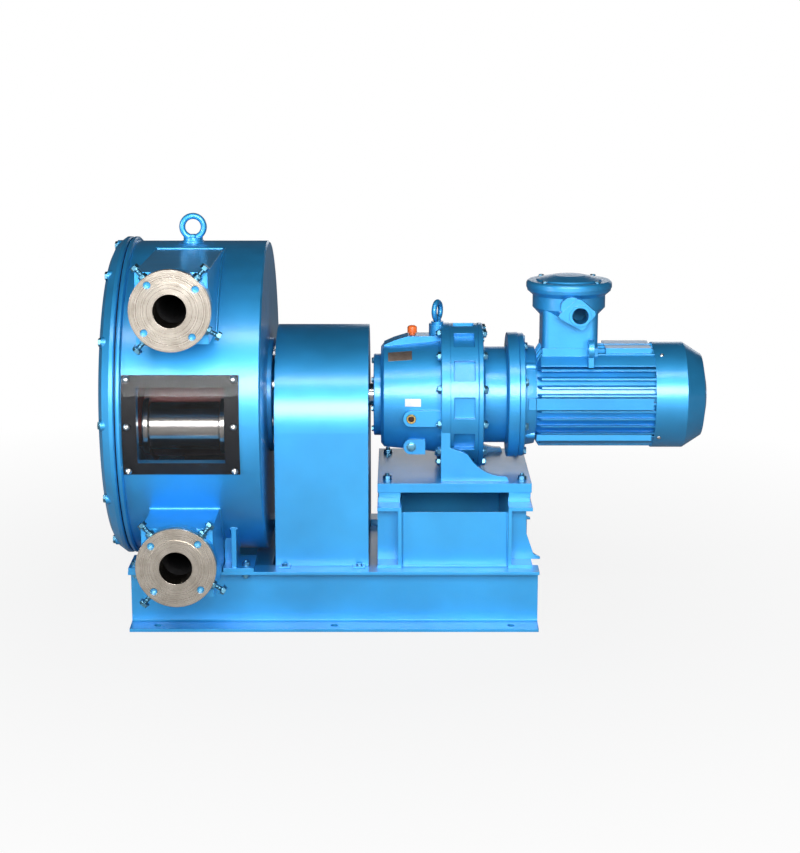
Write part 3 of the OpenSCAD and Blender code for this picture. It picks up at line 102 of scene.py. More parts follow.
class Wiring:
    """Short calls that fill a node tree: values or links into sockets, nodes, maths and mixes."""

    prefix = "ShaderNode"

    def __init__(self, net):
        self.net = net

    def feed(self, socket, value):
        """Links an output to the socket, or sets the socket's own value."""
        if isinstance(value, bpy.types.NodeSocket):
            self.net.links.new(value, socket)
        else:
            socket.default_value = value

    def node(self, kind, settings=(), **inputs):
        """Node with its settings and inputs; an underscore stands for a space in a label."""
        made = self.net.nodes.new(self.prefix + kind)
        for key, value in dict(settings).items():
            setattr(made, key, value)
        for label, value in inputs.items():
            self.feed(made.inputs[label.replace("_", " ")], value)
        return made

    def maths(self, operation, a, b=0.0, clamp=False):
        made = self.net.nodes.new("ShaderNodeMath")
        made.operation, made.use_clamp = operation, clamp
        self.feed(made.inputs[0], a)
        self.feed(made.inputs[1], b)
        return made.outputs[0]

    def vector_maths(self, operation, *vectors, result="Vector"):
        made = self.node("VectorMath", {"operation": operation})
        for socket, value in zip(made.inputs, vectors):
            self.feed(socket, value)
        return made.outputs[result]

    def ramp(self, value, *stops):
        """Colours or levels along a value: each stop is (position, level or colour)."""
        made = self.node("ValToRGB", Fac=value)
        fill_ramp(made.color_ramp, stops)
        return made.outputs["Color"]

    def blend(self, share, a, b, how="MIX"):
        made = self.node("Mix", {"data_type": "RGBA", "blend_type": how})
        self.feed(made.inputs[0], share)
        for socket, colour in ((made.inputs[6], a), (made.inputs[7], b)):
            self.feed(socket, colour if isinstance(colour, bpy.types.NodeSocket) else rgba(colour))
        return made.outputs[2]

    def mixed_shader(self, share, a, b):
        made = self.node("MixShader")
        for socket, value in zip(made.inputs, (share, a, b)):
            self.feed(socket, value)
        return made.outputs[0]


# Camera and studio

def aim_camera():
    """Camera fitted to the photo: in front, slightly above and tilted down."""
    lens = bpy.data.cameras.new("camera")
    lens.lens = 84.37
    lens.sensor_width = 36
    lens.clip_start, lens.clip_end = 0.1, 2000
    camera = bpy.data.objects.new("camera", lens)
    camera.location = (0.169, -5.19963, 1.59553)
    camera.rotation_euler = (math.radians(77.85), 0, 0)
    scene.collection.objects.link(camera)
    scene.camera = camera


def soft_box(name, place, target, size, power):
    """Area lamp of size (across, up) in metres that looks from its place at the target."""
    lamp = bpy.data.lights.new(name, "AREA")
    lamp.shape = "RECTANGLE"
    lamp.size, lamp.size_y = size
    lamp.energy = power
    box = bpy.data.objects.new(name, lamp)
    box.location = place
    box.rotation_euler = (Vector(target) - Vector(place)).to_track_quat("-Z", "Y").to_euler()
    box.visible_camera = False
    scene.collection.objects.link(box)


def world_light():
    """Room light: brightest in front, dark overhead, plain white where the camera sees it."""
    world = bpy.data.worlds.new("room")
    world.use_nodes = True
    scene.world = world
    sky = Wiring(world.node_tree)
    sky.net.nodes.clear()
    direction = sky.node("TexCoord").outputs["Generated"]
    height = sky.node("SeparateXYZ", Vector=direction).outputs["Z"]
    brightest = Vector((-0.15, -1, 0.12)).normalized()
    ahead = sky.vector_maths("DOT_PRODUCT", direction, brightest, result="Value")
    around = sky.ramp(height, (0.0, 0.05), (0.3, 0.04), (0.6, 0.015), (1.0, 0.01))
    front = sky.ramp(ahead, (0.6, 0.0), (0.9, 0.25), (1.0, 0.4))
    room = sky.node("Background", Color=sky.blend(1.0, around, front, "ADD"))
    white = sky.node("Background", Color=(1, 1, 1, 1))
    seen = sky.node("LightPath").outputs["Is Camera Ray"]
    sky.node("OutputWorld", Surface=sky.mixed_shader(seen, room.outputs[0], white.outputs[0]))


def lay_floor():
    """Large round pale floor. The camera sees it nearly white near the pump, where it keeps the
    shadow, and quite white further off. Metal mirrors it brightly only in front of the pump."""
    radius, fade = 60, 5.0
    rim = [(radius * math.cos(math.radians(a)), radius * math.sin(math.radians(a)), 0)
           for a in range(0, 360, 5)]
    mesh = bpy.data.meshes.new("floor")
    mesh.from_pydata(rim, [], [list(range(len(rim)))])
    floor = bpy.data.objects.new("floor", mesh)
    scene.collection.objects.link(floor)
    look = Finish("pale_floor", Roughness=0.8)
    look.feed(look.shader.inputs["Base Color"], rgba(0.25))
    rays = look.node("LightPath").outputs
    far = look.maths("DIVIDE", look.vector_maths("LENGTH", look.place, result="Value"), fade, clamp=True)
    whiteness = look.ramp(far, (0.15, 0.88), (0.5, 1.0))
    straight = look.maths("MAXIMUM", rays["Is Camera Ray"], rays["Is Transmission Ray"])
    y = look.node("SeparateXYZ", Vector=look.place).outputs["Y"]
    mirrored = look.ramp(look.maths("DIVIDE", y, -fade, clamp=True), (0.2, 0.05), (0.8, 0.6))
    glossy = look.maths("MULTIPLY", rays["Is Glossy Ray"], mirrored)
    share = look.maths("MAXIMUM", look.maths("MULTIPLY", straight, whiteness), glossy)
    glow = look.node("Emission", Color=(1, 1, 1, 1), Strength=1.0)
    mix = look.mixed_shader(share, look.shader.outputs[0], glow.outputs[0])
    look.feed(look.net.nodes["Material Output"].inputs["Surface"], mix)
    mesh.materials.append(look.material)


# Finishes

class Finish(Wiring):
    """A material being built, with short calls for the nodes that the finishes share."""

    def __init__(self, name, **shader_values):
        self.material = bpy.data.materials.new(name)
        self.material.use_nodes = True
        super().__init__(self.material.node_tree)
        self.shader = self.net.nodes["Principled BSDF"]
        for label, value in shader_values.items():
            self.shader.inputs[label.replace("_", " ")].default_value = value
        self.place = self.node("TexCoord").outputs["Object"]
        self.normal = None

    def noise(self, size_mm, detail=2.0, rough=0.5, stretch=(1, 1, 1)):
        """Noise whose grains are about size_mm across, from 0 to 1."""
        place = self.place
        if stretch != (1, 1, 1):
            place = self.node("Mapping", Vector=place, Scale=stretch).outputs[0]
        return self.node("TexNoise", Vector=place, Scale=1 / (size_mm * MM), Detail=detail,
                         Roughness=rough).outputs["Fac"]

    def soft_edges(self, radius_mm):
        """Rounds the shading of sharp edges."""
        self.normal = self.node("Bevel", {"samples": 4}, Radius=radius_mm * MM).outputs[0]

    def relief(self, height, depth_mm):
        """Adds a bump of depth_mm where the height goes from 0 to 1."""
        bump = self.node("Bump", Height=height, Strength=1.0, Distance=depth_mm * MM)
        if self.normal is not None:
            self.feed(bump.inputs["Normal"], self.normal)
        self.normal = bump.outputs[0]

    def done(self, colour, roughness, coat_normal=False):
        """Sets the shader's colour and roughness, each a value or a socket, and its normal."""
        self.feed(self.shader.inputs["Base Color"],
                  colour if isinstance(colour, bpy.types.NodeSocket) else rgba(colour))
        self.feed(self.shader.inputs["Roughness"], roughness)
        self.feed(self.shader.inputs["Normal"], self.normal)
        if coat_normal:
            self.feed(self.shader.inputs["Coat Normal"], self.normal)
        return self.material


PUMP_BLUE = (0.03, 0.34, 0.70)


def paint(name, colour, peel_mm, peel_depth, cast_depth=0.0, edge=1.2):
    """Sprayed gloss paint over sheet metal, or over a casting where cast_depth is given."""
    look = Finish(name, Metallic=0.82, Coat_Weight=1.0, Coat_Roughness=0.25, Coat_IOR=1.55)
    look.soft_edges(edge)
    if cast_depth:
        look.relief(look.noise(7, 5, 0.62), cast_depth)
        look.relief(look.noise(1.6, 2, 0.5), cast_depth * 0.35)
    look.relief(look.noise(peel_mm, 2, 0.5), peel_depth)
    clouds = look.noise(260, 3, 0.55)
    deep = tuple(c * 0.86 for c in colour)
    light = tuple(min(c * 1.1 + 0.002, 1) for c in colour)
    tone = look.ramp(clouds, (0.3, deep), (0.7, light))
    specks = look.ramp(look.noise(2.2, 1, 0.4), (0.7, 0.0), (0.78, 1.0))
    tone = look.blend(look.maths("MULTIPLY", specks, 0.18), tone, tuple(c * 0.55 for c in colour))
    matt = 0.06 if cast_depth else 0.0
    sheen = look.ramp(look.noise(60, 3, 0.6), (0.3, 0.50 + matt), (0.75, 0.58 + matt))
    return look.done(tone, sheen, coat_normal=True)


def bare_metal(name, colour, roughness, brush_mm=1.5, brush=(1, 1, 1), depth=0.03, stain=0.12):
    """Metal with a grain that brush can stretch, and stains of up to the share stain."""
    look = Finish(name, Metallic=1.0)
    look.soft_edges(0.6)
    grain = look.noise(brush_mm, 3, 0.6, brush)
    look.relief(grain, depth)
    clouds = look.noise(35, 4, 0.6)
    tone = look.ramp(clouds, (0.3, tuple(c * (1 - stain) for c in colour)), (0.7, colour))
    sheen = look.ramp(grain, (0.25, roughness * 0.8), (0.75, min(roughness * 1.25, 1)))
    return look.done(tone, sheen)


def turned_steel(name, centre_mm, axis):
    """Stainless steel faced on a lathe: fine rings round an axis through centre_mm."""
    look = Finish(name, Metallic=1.0)
    look.soft_edges(0.8)
    centre = tuple(c * MM for c in centre_mm)
    across = tuple(0 if a else 1 for a in axis)
    flat = look.vector_maths("MULTIPLY", look.vector_maths("SUBTRACT", look.place, centre), across)
    radius = look.vector_maths("LENGTH", flat, result="Value")
    pitch_mm = 1.3
    rings = look.maths("SINE", look.maths("MULTIPLY", radius, 2 * math.pi / (pitch_mm * MM)))
    look.relief(look.maths("MULTIPLY", look.maths("ADD", rings, 1.0), 0.5), 0.035)
    uneven = look.node("TexNoise", {"noise_dimensions": "1D"}, W=radius, Scale=420, Detail=4)
    look.relief(uneven.outputs["Fac"], 0.05)
    clouds = look.noise(30, 4, 0.6)
    tone = look.ramp(clouds, (0.25, (0.43, 0.38, 0.32)), (0.75, (0.64, 0.58, 0.51)))
    sheen = look.ramp(uneven.outputs["Fac"], (0.3, 0.22), (0.7, 0.36))
    return look.done(tone, sheen)


def rubber(name, colour, roughness, grain_mm=1.2, depth=0.05, gloss=0.45):
    """Rubber or plain plastic with a fine grain."""
    look = Finish(name, Specular_IOR_Level=gloss)
    look.soft_edges(0.8)
    grain = look.noise(grain_mm, 3, 0.6)
    look.relief(grain, depth)
    tone = look.ramp(look.noise(40, 3, 0.6), (0.3, tuple(c * 0.75 for c in colour)),
                     (0.75, tuple(c * 1.35 + 0.003 for c in colour)))
    sheen = look.ramp(grain, (0.3, roughness * 0.85), (0.7, min(roughness * 1.15, 1)))
    return look.done(tone, sheen)


def clear_sheet(name, tint, alpha):
    """Clear plastic with a faint haze of fine scratches."""
    look = Finish(name, IOR=1.49, Alpha=alpha)
    scratches = look.noise(3, 2, 0.6, (1, 1, 0.08))
    look.relief(scratches, 0.004)
    sheen = look.ramp(look.noise(50, 3, 0.6), (0.3, 0.03), (0.8, 0.09))
    return look.done(tint, sheen)


# Trees of geometry nodes for what repeats

class Tree(Wiring):
    """A geometry node tree with named inputs, built node by node."""

    prefix = ""

    def __init__(self, name, **sizes):
        super().__init__(bpy.data.node_groups.new(name, "GeometryNodeTree"))
        interface = self.net.interface
        interface.new_socket("Geometry", in_out="OUTPUT", socket_type="NodeSocketGeometry")
        interface.new_socket("Geometry", in_out="INPUT", socket_type="NodeSocketGeometry")
        self.ids = {}
        for label, size in {**sizes, "Finish": None}.items():
            kind = {float: "NodeSocketFloat", int: "NodeSocketInt"}.get(type(size), "NodeSocketMaterial")
            socket = interface.new_socket(label, in_out="INPUT", socket_type=kind)
            if size is not None:
                socket.default_value = size
            self.ids[label] = socket.identifier
        self.given = self.node("NodeGroupInput").outputs

    def moved(self, geometry, z):
        """The geometry moved along z."""
        shift = self.node("ShaderNodeCombineXYZ", Z=z).outputs[0]
        return self.node("GeometryNodeTransform", Geometry=geometry, Translation=shift).outputs[0]

    def joined(self, *parts):
        join = self.node("GeometryNodeJoinGeometry")
        for part in reversed(parts):
            self.net.links.new(part, join.inputs[0])
        return join.outputs[0]

    def boolean(self, operation, a, b):
        """What a and b share, or a without b."""
        cut = self.node("GeometryNodeMeshBoolean", {"operation": operation, "solver": "EXACT"})
        if operation == "DIFFERENCE":
            self.feed(cut.inputs["Mesh 1"], a)
            self.net.links.new(b, cut.inputs["Mesh 2"])
        else:
            for part in (a, b):
                self.net.links.new(part, cut.inputs["Mesh 2"])
        return cut.outputs["Mesh"]

    def set_on_points(self, part):
        """The part on every point, its z along the point's attribute 'out', turned at random."""
        out = self.node("GeometryNodeInputNamedAttribute", {"data_type": "FLOAT_VECTOR"}, Name="out")
        lean = self.node("FunctionNodeAlignRotationToVector", {"axis": "Z"}, Vector=out.outputs[0])
        spin = self.node("FunctionNodeRandomValue", {"data_type": "FLOAT"}, Seed=self.given["Seed"])
        spin.inputs[3].default_value = 2 * math.pi
        own = self.node("FunctionNodeAxisAngleToRotation", Axis=(0, 0, 1), Angle=spin.outputs[1])
        both = self.node("FunctionNodeRotateRotation", {"rotation_space": "LOCAL"},
                         Rotation=lean.outputs[0], Rotate_By=own.outputs[0])
        placed = self.node("GeometryNodeInstanceOnPoints", Points=self.given["Geometry"],
                           Instance=part, Rotation=both.outputs[0])
        return placed.outputs[0]

    def finish(self, geometry, sharp_deg=SHARP_DEG):
        """Realizes and shades the geometry, gives it its finish and makes it the tree's result."""
        real = self.node("GeometryNodeRealizeInstances", Geometry=geometry).outputs[0]
        merged = self.node("GeometryNodeMergeByDistance", Geometry=real, Distance=1e-6).outputs[0]
        angle = self.node("GeometryNodeInputMeshEdgeAngle").outputs["Unsigned Angle"]
        smooth = self.node("FunctionNodeCompare", {"data_type": "FLOAT", "operation": "LESS_THAN"})
        self.feed(smooth.inputs[0], angle)
        self.feed(smooth.inputs[1], math.radians(sharp_deg))
        faces = self.node("GeometryNodeSetShadeSmooth", {"domain": "FACE"}, Geometry=merged)
        edges = self.node("GeometryNodeSetShadeSmooth", {"domain": "EDGE"}, Geometry=faces.outputs[0],
                          Shade_Smooth=smooth.outputs[0])
        coated = self.node("GeometryNodeSetMaterial", Geometry=edges.outputs[0],
                           Material=self.given["Finish"])
        out = self.node("NodeGroupOutput")
        self.feed(out.inputs[0], coated.outputs[0])
        return self


def hex_fasteners():
    """Washer, chamfered hexagon and, where Stub is more than 0, a threaded end above it."""
    tree = Tree("hex_fasteners", Radius=M12 * MM, Height=8 * MM, Stub=0.0, Seed=1)
    radius, height, stub = (tree.given[label] for label in ("Radius", "Height", "Stub"))

    def radii(share):
        return tree.maths("MULTIPLY", radius, share)

    washer_h = radii(0.22)
    washer = tree.node("GeometryNodeMeshCylinder", Vertices=32, Radius=radii(2.1), Depth=washer_h).outputs[0]
    hex_h = tree.maths("SUBTRACT", height, washer_h)
    prism = tree.node("GeometryNodeMeshCylinder", Vertices=6, Radius=radii(1.85), Depth=hex_h).outputs[0]
    top_r = radii(1.5)
    cone = tree.node("GeometryNodeMeshCone", Vertices=36, Radius_Top=top_r, Depth=hex_h,
                     Radius_Bottom=tree.maths("ADD", top_r, tree.maths("MULTIPLY", hex_h, 1.73))).outputs[0]
    half = tree.maths("MULTIPLY", hex_h, 0.5)
    nut = tree.boolean("INTERSECT", tree.moved(prism, half), cone)
    pitch = radii(0.3)
    tip = tree.maths("ADD", height, stub)
    core = tree.node("GeometryNodeMeshCone", Vertices=24, Radius_Top=radii(0.8),
                     Radius_Bottom=radii(0.86), Depth=tip).outputs[0]
    thread_h = tree.maths("SUBTRACT", stub, tree.maths("MULTIPLY", pitch, 0.6))
    thread_line = tree.node("GeometryNodeCurveSpiral", Resolution=18, Height=thread_h,
                            Rotations=tree.maths("DIVIDE", stub, pitch),
                            Start_Radius=radii(0.86), End_Radius=radii(0.86))
    ridge = tree.node("GeometryNodeCurvePrimitiveCircle", Resolution=4, Radius=radii(0.14)).outputs[0]
    thread = tree.node("GeometryNodeCurveToMesh", Curve=thread_line.outputs[0], Profile_Curve=ridge,
                       Fill_Caps=True).outputs[0]
    with_stub = tree.joined(core, tree.moved(thread, height))
    has_stub = tree.node("FunctionNodeCompare", {"data_type": "FLOAT", "operation": "GREATER_THAN"})
    tree.feed(has_stub.inputs[0], stub)
    tree.feed(has_stub.inputs[1], 0.0)
    stub_part = tree.node("GeometryNodeSwitch", {"input_type": "GEOMETRY"}, Switch=has_stub.outputs[0])
    tree.feed(stub_part.inputs["True"], with_stub)
    whole = tree.joined(tree.moved(washer, tree.maths("MULTIPLY", washer_h, 0.5)),
                        tree.moved(nut, washer_h), stub_part.outputs[0])
    return tree.finish(tree.set_on_points(whole))


def dome_screws():
    """Round heads with a hexagon socket."""
    tree = Tree("dome_screws", Radius=9 * MM, Height=6 * MM, Seed=1)
    radius, height = tree.given["Radius"], tree.given["Height"]
    ball = tree.node("GeometryNodeMeshUVSphere", Segments=40, Rings=24, Radius=radius).outputs[0]
    sunk = tree.maths("SUBTRACT", height, radius)
    drum = tree.node("GeometryNodeMeshCylinder", Vertices=40, Radius=tree.maths("MULTIPLY", radius, 0.94),
                     Depth=height).outputs[0]
    head = tree.boolean("INTERSECT", tree.moved(ball, sunk),
                        tree.moved(drum, tree.maths("MULTIPLY", height, 0.5)))
    socket = tree.node("GeometryNodeMeshCylinder", Vertices=6, Radius=tree.maths("MULTIPLY", radius, 0.34),
                       Depth=height).outputs[0]
    hollow = tree.boolean("DIFFERENCE", head, tree.moved(socket, height))
    return tree.finish(tree.set_on_points(hollow))


def weld_beads():
    """Bead with overlapping ripples along the lines of its mesh."""
    tree = Tree("weld_beads", Radius=3.5 * MM, Ripple=3.0 * MM, Depth=0.16, Seed=4)
    lines = tree.node("GeometryNodeMeshToCurve", Mesh=tree.given["Geometry"]).outputs[0]
    step = tree.maths("MULTIPLY", tree.given["Ripple"], 0.25)
    even = tree.node("GeometryNodeResampleCurve", {"mode": "LENGTH"}, Curve=lines, Length=step).outputs[0]
    along = tree.node("GeometryNodeSplineParameter").outputs["Length"]
    phase = tree.maths("FRACT", tree.maths("DIVIDE", along, tree.given["Ripple"]))
    scallop = tree.maths("SQRT", tree.maths("SUBTRACT", 1.0, tree.maths("MULTIPLY", phase, phase)))
    wobble = tree.node("FunctionNodeRandomValue", {"data_type": "FLOAT"}, Seed=tree.given["Seed"])
    wobble.inputs[2].default_value, wobble.inputs[3].default_value = -0.04, 0.04
    thick = tree.maths("ADD", tree.maths("SUBTRACT", 1.0, tree.given["Depth"]),
                       tree.maths("ADD", wobble.outputs[1],
                                  tree.maths("MULTIPLY", scallop, tree.given["Depth"])))
    profile = tree.node("GeometryNodeCurvePrimitiveCircle", Resolution=8, Radius=tree.given["Radius"])
    bead = tree.node("GeometryNodeCurveToMesh", Curve=even, Profile_Curve=profile.outputs[0],
                     Scale=thick, Fill_Caps=True).outputs[0]
    return tree.finish(bead, sharp_deg=70)


# Fitted pieces

def add_piece(name, mesh, body, replaces=()):
    """Hands a mesh in as a piece of a body, in the place of the CAD nodes that it replaces."""
    piece = bpy.data.objects.new(name, mesh)
    scene.collection.objects.link(piece)
    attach(piece, body)
    if replaces:
        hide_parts(*replaces)


def points_with_out(name, places):
    """Mesh of bare points; each place is (point in mm, direction that its fastener faces)."""
    mesh = bpy.data.meshes.new(name)
    mesh.from_pydata([Vector(point) * MM for point, _ in places], [], [])
    out = mesh.attributes.new("out", "FLOAT_VECTOR", "POINT")
    out.data.foreach_set("vector", [c for _, direction in places for c in direction])
    return mesh


def grow(name, base, tree, finish, **sizes):
    """Runs a tree on a base mesh and returns the result as a plain mesh."""
    holder = bpy.data.objects.new(name, base)
    scene.collection.objects.link(holder)
    modifier = holder.modifiers.new("grow", "NODES")
    modifier.node_group = tree.net
    for label, size in sizes.items():
        modifier[tree.ids[label]] = size
    modifier[tree.ids["Finish"]] = finishes[finish]
    graph = bpy.context.evaluated_depsgraph_get()
    mesh = bpy.data.meshes.new_from_object(holder.evaluated_get(graph), depsgraph=graph)
    bpy.data.objects.remove(holder)
    mesh.name = name
    if "out" in mesh.attributes:
        mesh.attributes.remove(mesh.attributes["out"])
    return mesh


def merged(name, meshes):
    """One mesh from several."""
    vertices, faces, slots, smooth, finishes_used = [], [], [], [], []
    for mesh in meshes:
        first = len(vertices)
        vertices += [v.co.copy() for v in mesh.vertices]
        for face in mesh.polygons:
            finish = mesh.materials[face.material_index]
            if finish not in finishes_used:
                finishes_used.append(finish)
            faces.append([first + i for i in face.vertices])
            slots.append(finishes_used.index(finish))
            smooth.append(face.use_smooth)
    whole = bpy.data.meshes.new(name)
    whole.from_pydata(vertices, [], faces)
    for finish in finishes_used:
        whole.materials.append(finish)
    whole.polygons.foreach_set("material_index", slots)
    whole.polygons.foreach_set("use_smooth", smooth)
    whole.set_sharp_from_angle(angle=math.radians(SHARP_DEG))
    return whole


def turned_mesh(profile, place, axis, finish):
    """Closed mesh turned from (radius, height) pairs in mm, with heights along the axis."""
    steps = 48
    turn = Vector(axis).to_track_quat("Z", "Y")
    points, faces = [], []
    for radius, height in profile:
        for i in range(steps):
            a = 2 * math.pi * i / steps
            spot = Vector((radius * math.cos(a), radius * math.sin(a), height))
            points.append((Vector(place) + turn @ spot) * MM)
    for first in range(0, len(points) - steps, steps):
        for i in range(steps):
            j = (i + 1) % steps
            faces.append((first + i, first + j, first + steps + j, first + steps + i))
    faces.append(range(steps - 1, -1, -1))
    faces.append(range(len(points) - steps, len(points)))
    mesh = bpy.data.meshes.new(finish)
    mesh.from_pydata(points, [], faces)
    mesh.polygons.foreach_set("use_smooth", [True] * len(faces))
    mesh.materials.append(finishes[finish])
    return mesh


def bell_plate(name, x0, x1, a0, a1, finish):
    """Thin bare plate bent to the gearbox bell, between two angles above the side towards -Y."""
    across, round_it, under, over = 4, 10, -0.3, 0.9
    points = []
    for lift in (under, over):
        for i in range(across + 1):
            x = x0 + (x1 - x0) * i / across
            reach = BELL_R + (x - BELL_X0) * BELL_TAPER + lift
            for k in range(round_it + 1):
                a = math.radians(a0 + (a1 - a0) * k / round_it)
                points.append(Vector((x, -reach * math.cos(a), SHAFT_Z + reach * math.sin(a))) * MM)
    row = round_it + 1
    layer = row * (across + 1)
    faces = []
    for i in range(across):
        for k in range(round_it):
            a = i * row + k
            faces += [(a, a + 1, a + row + 1, a + row),
                      (layer + a, layer + a + row, layer + a + row + 1, layer + a + 1)]
    rim = (list(range(row)) + [i * row + row - 1 for i in range(1, across + 1)]
           + [across * row + k for k in range(row - 2, -1, -1)] + [i * row for i in range(across - 1, 0, -1)])
    for a, b in zip(rim, rim[1:] + rim[:1]):
        faces.append((a, a + layer, b + layer, b))
    mesh = bpy.data.meshes.new(name)
    mesh.from_pydata(points, [], faces)
    mesh.materials.append(finishes[finish])
    return mesh


def ring_places(x, radius, count, start, side):
    """Places of count fasteners on a circle round the shaft, from start degrees on, facing +X for
    side 1 and -X for side -1."""
    turns = [math.radians(start + 360 * i / count) for i in range(count)]
    return [((x, radius * math.cos(a), SHAFT_Z + radius * math.sin(a)), (side, 0, 0)) for a in turns]


def window_places(lift):
    """The window's six screws, lift mm outside the drum wall."""
    half_w, half_turn = 131, 16.16
    reach = DRUM_R + lift
    places = []
    for side in (-half_w, half_w):
        for a in (-half_turn, 0, half_turn):
            out = (0, -math.cos(math.radians(a)), math.sin(math.radians(a)))
            places.append(((HOSE_X + side, reach * out[1], SHAFT_Z + reach * out[2]), out))
    return places


def clamp_places(reach):
    """The radial clamp screws of both ports at reach mm from the port axis."""
    places = []
    for s in (1, -1):
        for a in (50, 130, 230, 330):
            out = (math.cos(math.radians(a)), 0, math.sin(math.radians(a)))
            places.append(((HOSE_X + reach * out[0], CLAMP_Y, SHAFT_Z + s * PORT_H + reach * out[2]), out))
    return places


def upright(xs, y, z, side=1):
    """Places at every x and at -y and y, facing up for side 1 and down for side -1."""
    return [((x, s * y, z), (0, 0, side)) for x in xs for s in (-1, 1)]


def set_fasteners():
    """Bolts, nuts, screws and plugs in the place of the plain ones, and the two bare plates."""
    hexes, domes = hex_fasteners(), dome_screws()

    def hex_set(places, radius, height, stub=0.0, finish="bolt_paint", seed=1):
        return grow("hex_set", points_with_out("hex_set", places), hexes, finish, Radius=radius * MM,
                    Height=height * MM, Stub=stub * MM, Seed=seed)

    def dome_set(places, radius, height, seed):
        return grow("dome_set", points_with_out("dome_set", places), domes, "zinc", Radius=radius * MM,
                    Height=height * MM, Seed=seed)

    drum_feet = (-508, -226), 265
    gear_feet = (136, 486), 153
    gear_foot_top, stand_top_under = 370, 311
    guard_feet = (GUARD_X0 + 24, GUARD_X1 - 24), 253
    clamp_nut, clamp_head = 97.8, 123.5
    lid = [((TERMINAL_X + LID_SCREW_R * math.cos(a), LID_SCREW_R * math.sin(a), LID_Z), (0, 0, 1))
           for a in (math.radians(turn) for turn in (45, 135, 225, 315))]
    groups = {
        "cover_bolt_set": ("cover_bolts", [
            hex_set(ring_places(COVER_X, COVER_BOLT_R, 12, 0, -1), M12, 7.8)]),
        "housing_bolt_set": ("housing_bolts", [
            hex_set(ring_places(HOUSING_X, HOUSING_BOLT_R, 8, 22.5, 1), M12, 7.8, finish="zinc", seed=2)]),
        "ring_stud_set": ("ring_bolts", [
            hex_set(ring_places(BELL_X1, RING_BOLT_R, 12, 15, -1), M12, 9, 4, seed=3),
            hex_set(ring_places(RING_X1 + 14, RING_BOLT_R, 12, 15, 1), M12, 9.6, 2, seed=4)]),
        "clamp_screw_set": ("clamp_screws", [
            hex_set(clamp_places(clamp_nut), M12, 8, 18, seed=5),
            hex_set(clamp_places(clamp_head), M12, 10, seed=6)]),
        "drum_foot_stud_set": ("drum_foot_bolts", [
            hex_set(upright(*drum_feet, CHANNEL_TOP + 10), M12, 9.6, 4.4, seed=7),
            hex_set(upright(*drum_feet, CHANNEL_TOP - 12, -1), M12, 9, 4, seed=8)]),
        "gearbox_foot_stud_set": ("gearbox_foot_bolts", [
            hex_set(upright(*gear_feet, gear_foot_top), M12, 9.6, 6.4, seed=9),
            hex_set(upright(*gear_feet, stand_top_under, -1), M12, 9, 4, seed=10)]),
        "window_screw_set": ("window_screws", [
            dome_set(window_places(8.3), 9, 6, 11)]),
        "small_screw_set": ("small_screws", [
            hex_set(ring_places(SEAL_X, SEAL_SCREW_R, 8, 11, -1), M8, 5.2, seed=12),
            hex_set(upright(*guard_feet, CHANNEL_TOP + 5.3), M8, 5.2, seed=13),
            hex_set(lid, 4, 5, seed=14),
            hex_set(ring_places(MOTOR_FLANGE_X, MOTOR_FLANGE_R, 8, 22.5, 1), 5.5, 7.15, seed=15)]),
    }
    for name, (replaced, meshes) in groups.items():
        add_piece(name, merged(name, meshes), "root", [replaced])

    cap = [(9, 0), (9, 4), (12.5, 5), (12.5, 18), (11.5, 21), (7, 23.6), (1, 24)]
    ring = [(12.2, 0), (12.2, 10.8), (11.3, 12), (8.4, 12), (7.6, 11), (7.6, 8)]
    glass = [(7.6, 8.2), (7.6, 9.2), (5, 9.9), (1, 10)]
    sight = (198, -150, 529.5)
    plugs = [turned_mesh(cap, (201, 0, 724.8), (0, 0, 1), "breather_cap"),
             turned_mesh(ring, sight, (0, -1, 0), "brass"),
             turned_mesh(glass, sight, (0, -1, 0), "sight_glass"),
             hex_set([((198, -120.3, 447.5), (0, -1, 0))], M12, 9)]
    add_piece("gearbox_plug_set", merged("gearbox_plug_set", plugs), "root", ["gearbox_plugs"])

    # screws that hold the fan cowl, and the bare plates on the gearbox
    cowl = [((x, side * y, SHAFT_Z + z), (0, side * y / COWL_R, z / COWL_R))
            for x, y, z in ((850.6, 73.4, 118.4), (845.2, 101.3, -95.7)) for side in (-1, 1)]
    add_piece("cowl_screws", dome_set(cowl, 6, 3.6, 16), "root")
    add_piece("type_plate", bell_plate("type_plate", 138, 200, 49, 62, "type_plate"), "root")
    add_piece("oil_plate", bell_plate("oil_plate", 182, 223, -1.5, 6.5, "white_plate"), "root")


def line_mesh(name, lines):
    """Mesh of open or closed lines; each is (points in mm, closed)."""
    points, edges = [], []
    for line, closed in lines:
        first = len(points)
        points += [Vector(p) * MM for p in line]
        edges += [(first + i, first + i + 1) for i in range(len(line) - 1)]
        if closed:
            edges.append((first + len(line) - 1, first))
    mesh = bpy.data.meshes.new(name)
    mesh.from_pydata(points, edges, [])
    return mesh


def drum_chord(across):
    """How far the drum's wall, 1 mm proud, reaches at a distance across from its axis."""
    return math.sqrt((DRUM_R + 1) ** 2 - across * across)


def nozzle_seam(s):
    """Line where a square nozzle meets the round drum."""
    low, high, steps = PORT_H - NOZZLE_HALF, PORT_H + NOZZLE_HALF, 24
    rise = [low + (high - low) * i / steps for i in range(steps + 1)]
    left = [(HOSE_X - NOZZLE_HALF - 1, -drum_chord(z), SHAFT_Z + s * z) for z in rise]
    right = [(HOSE_X + NOZZLE_HALF + 1, -drum_chord(z), SHAFT_Z + s * z) for z in reversed(rise)]
    return left + right, True


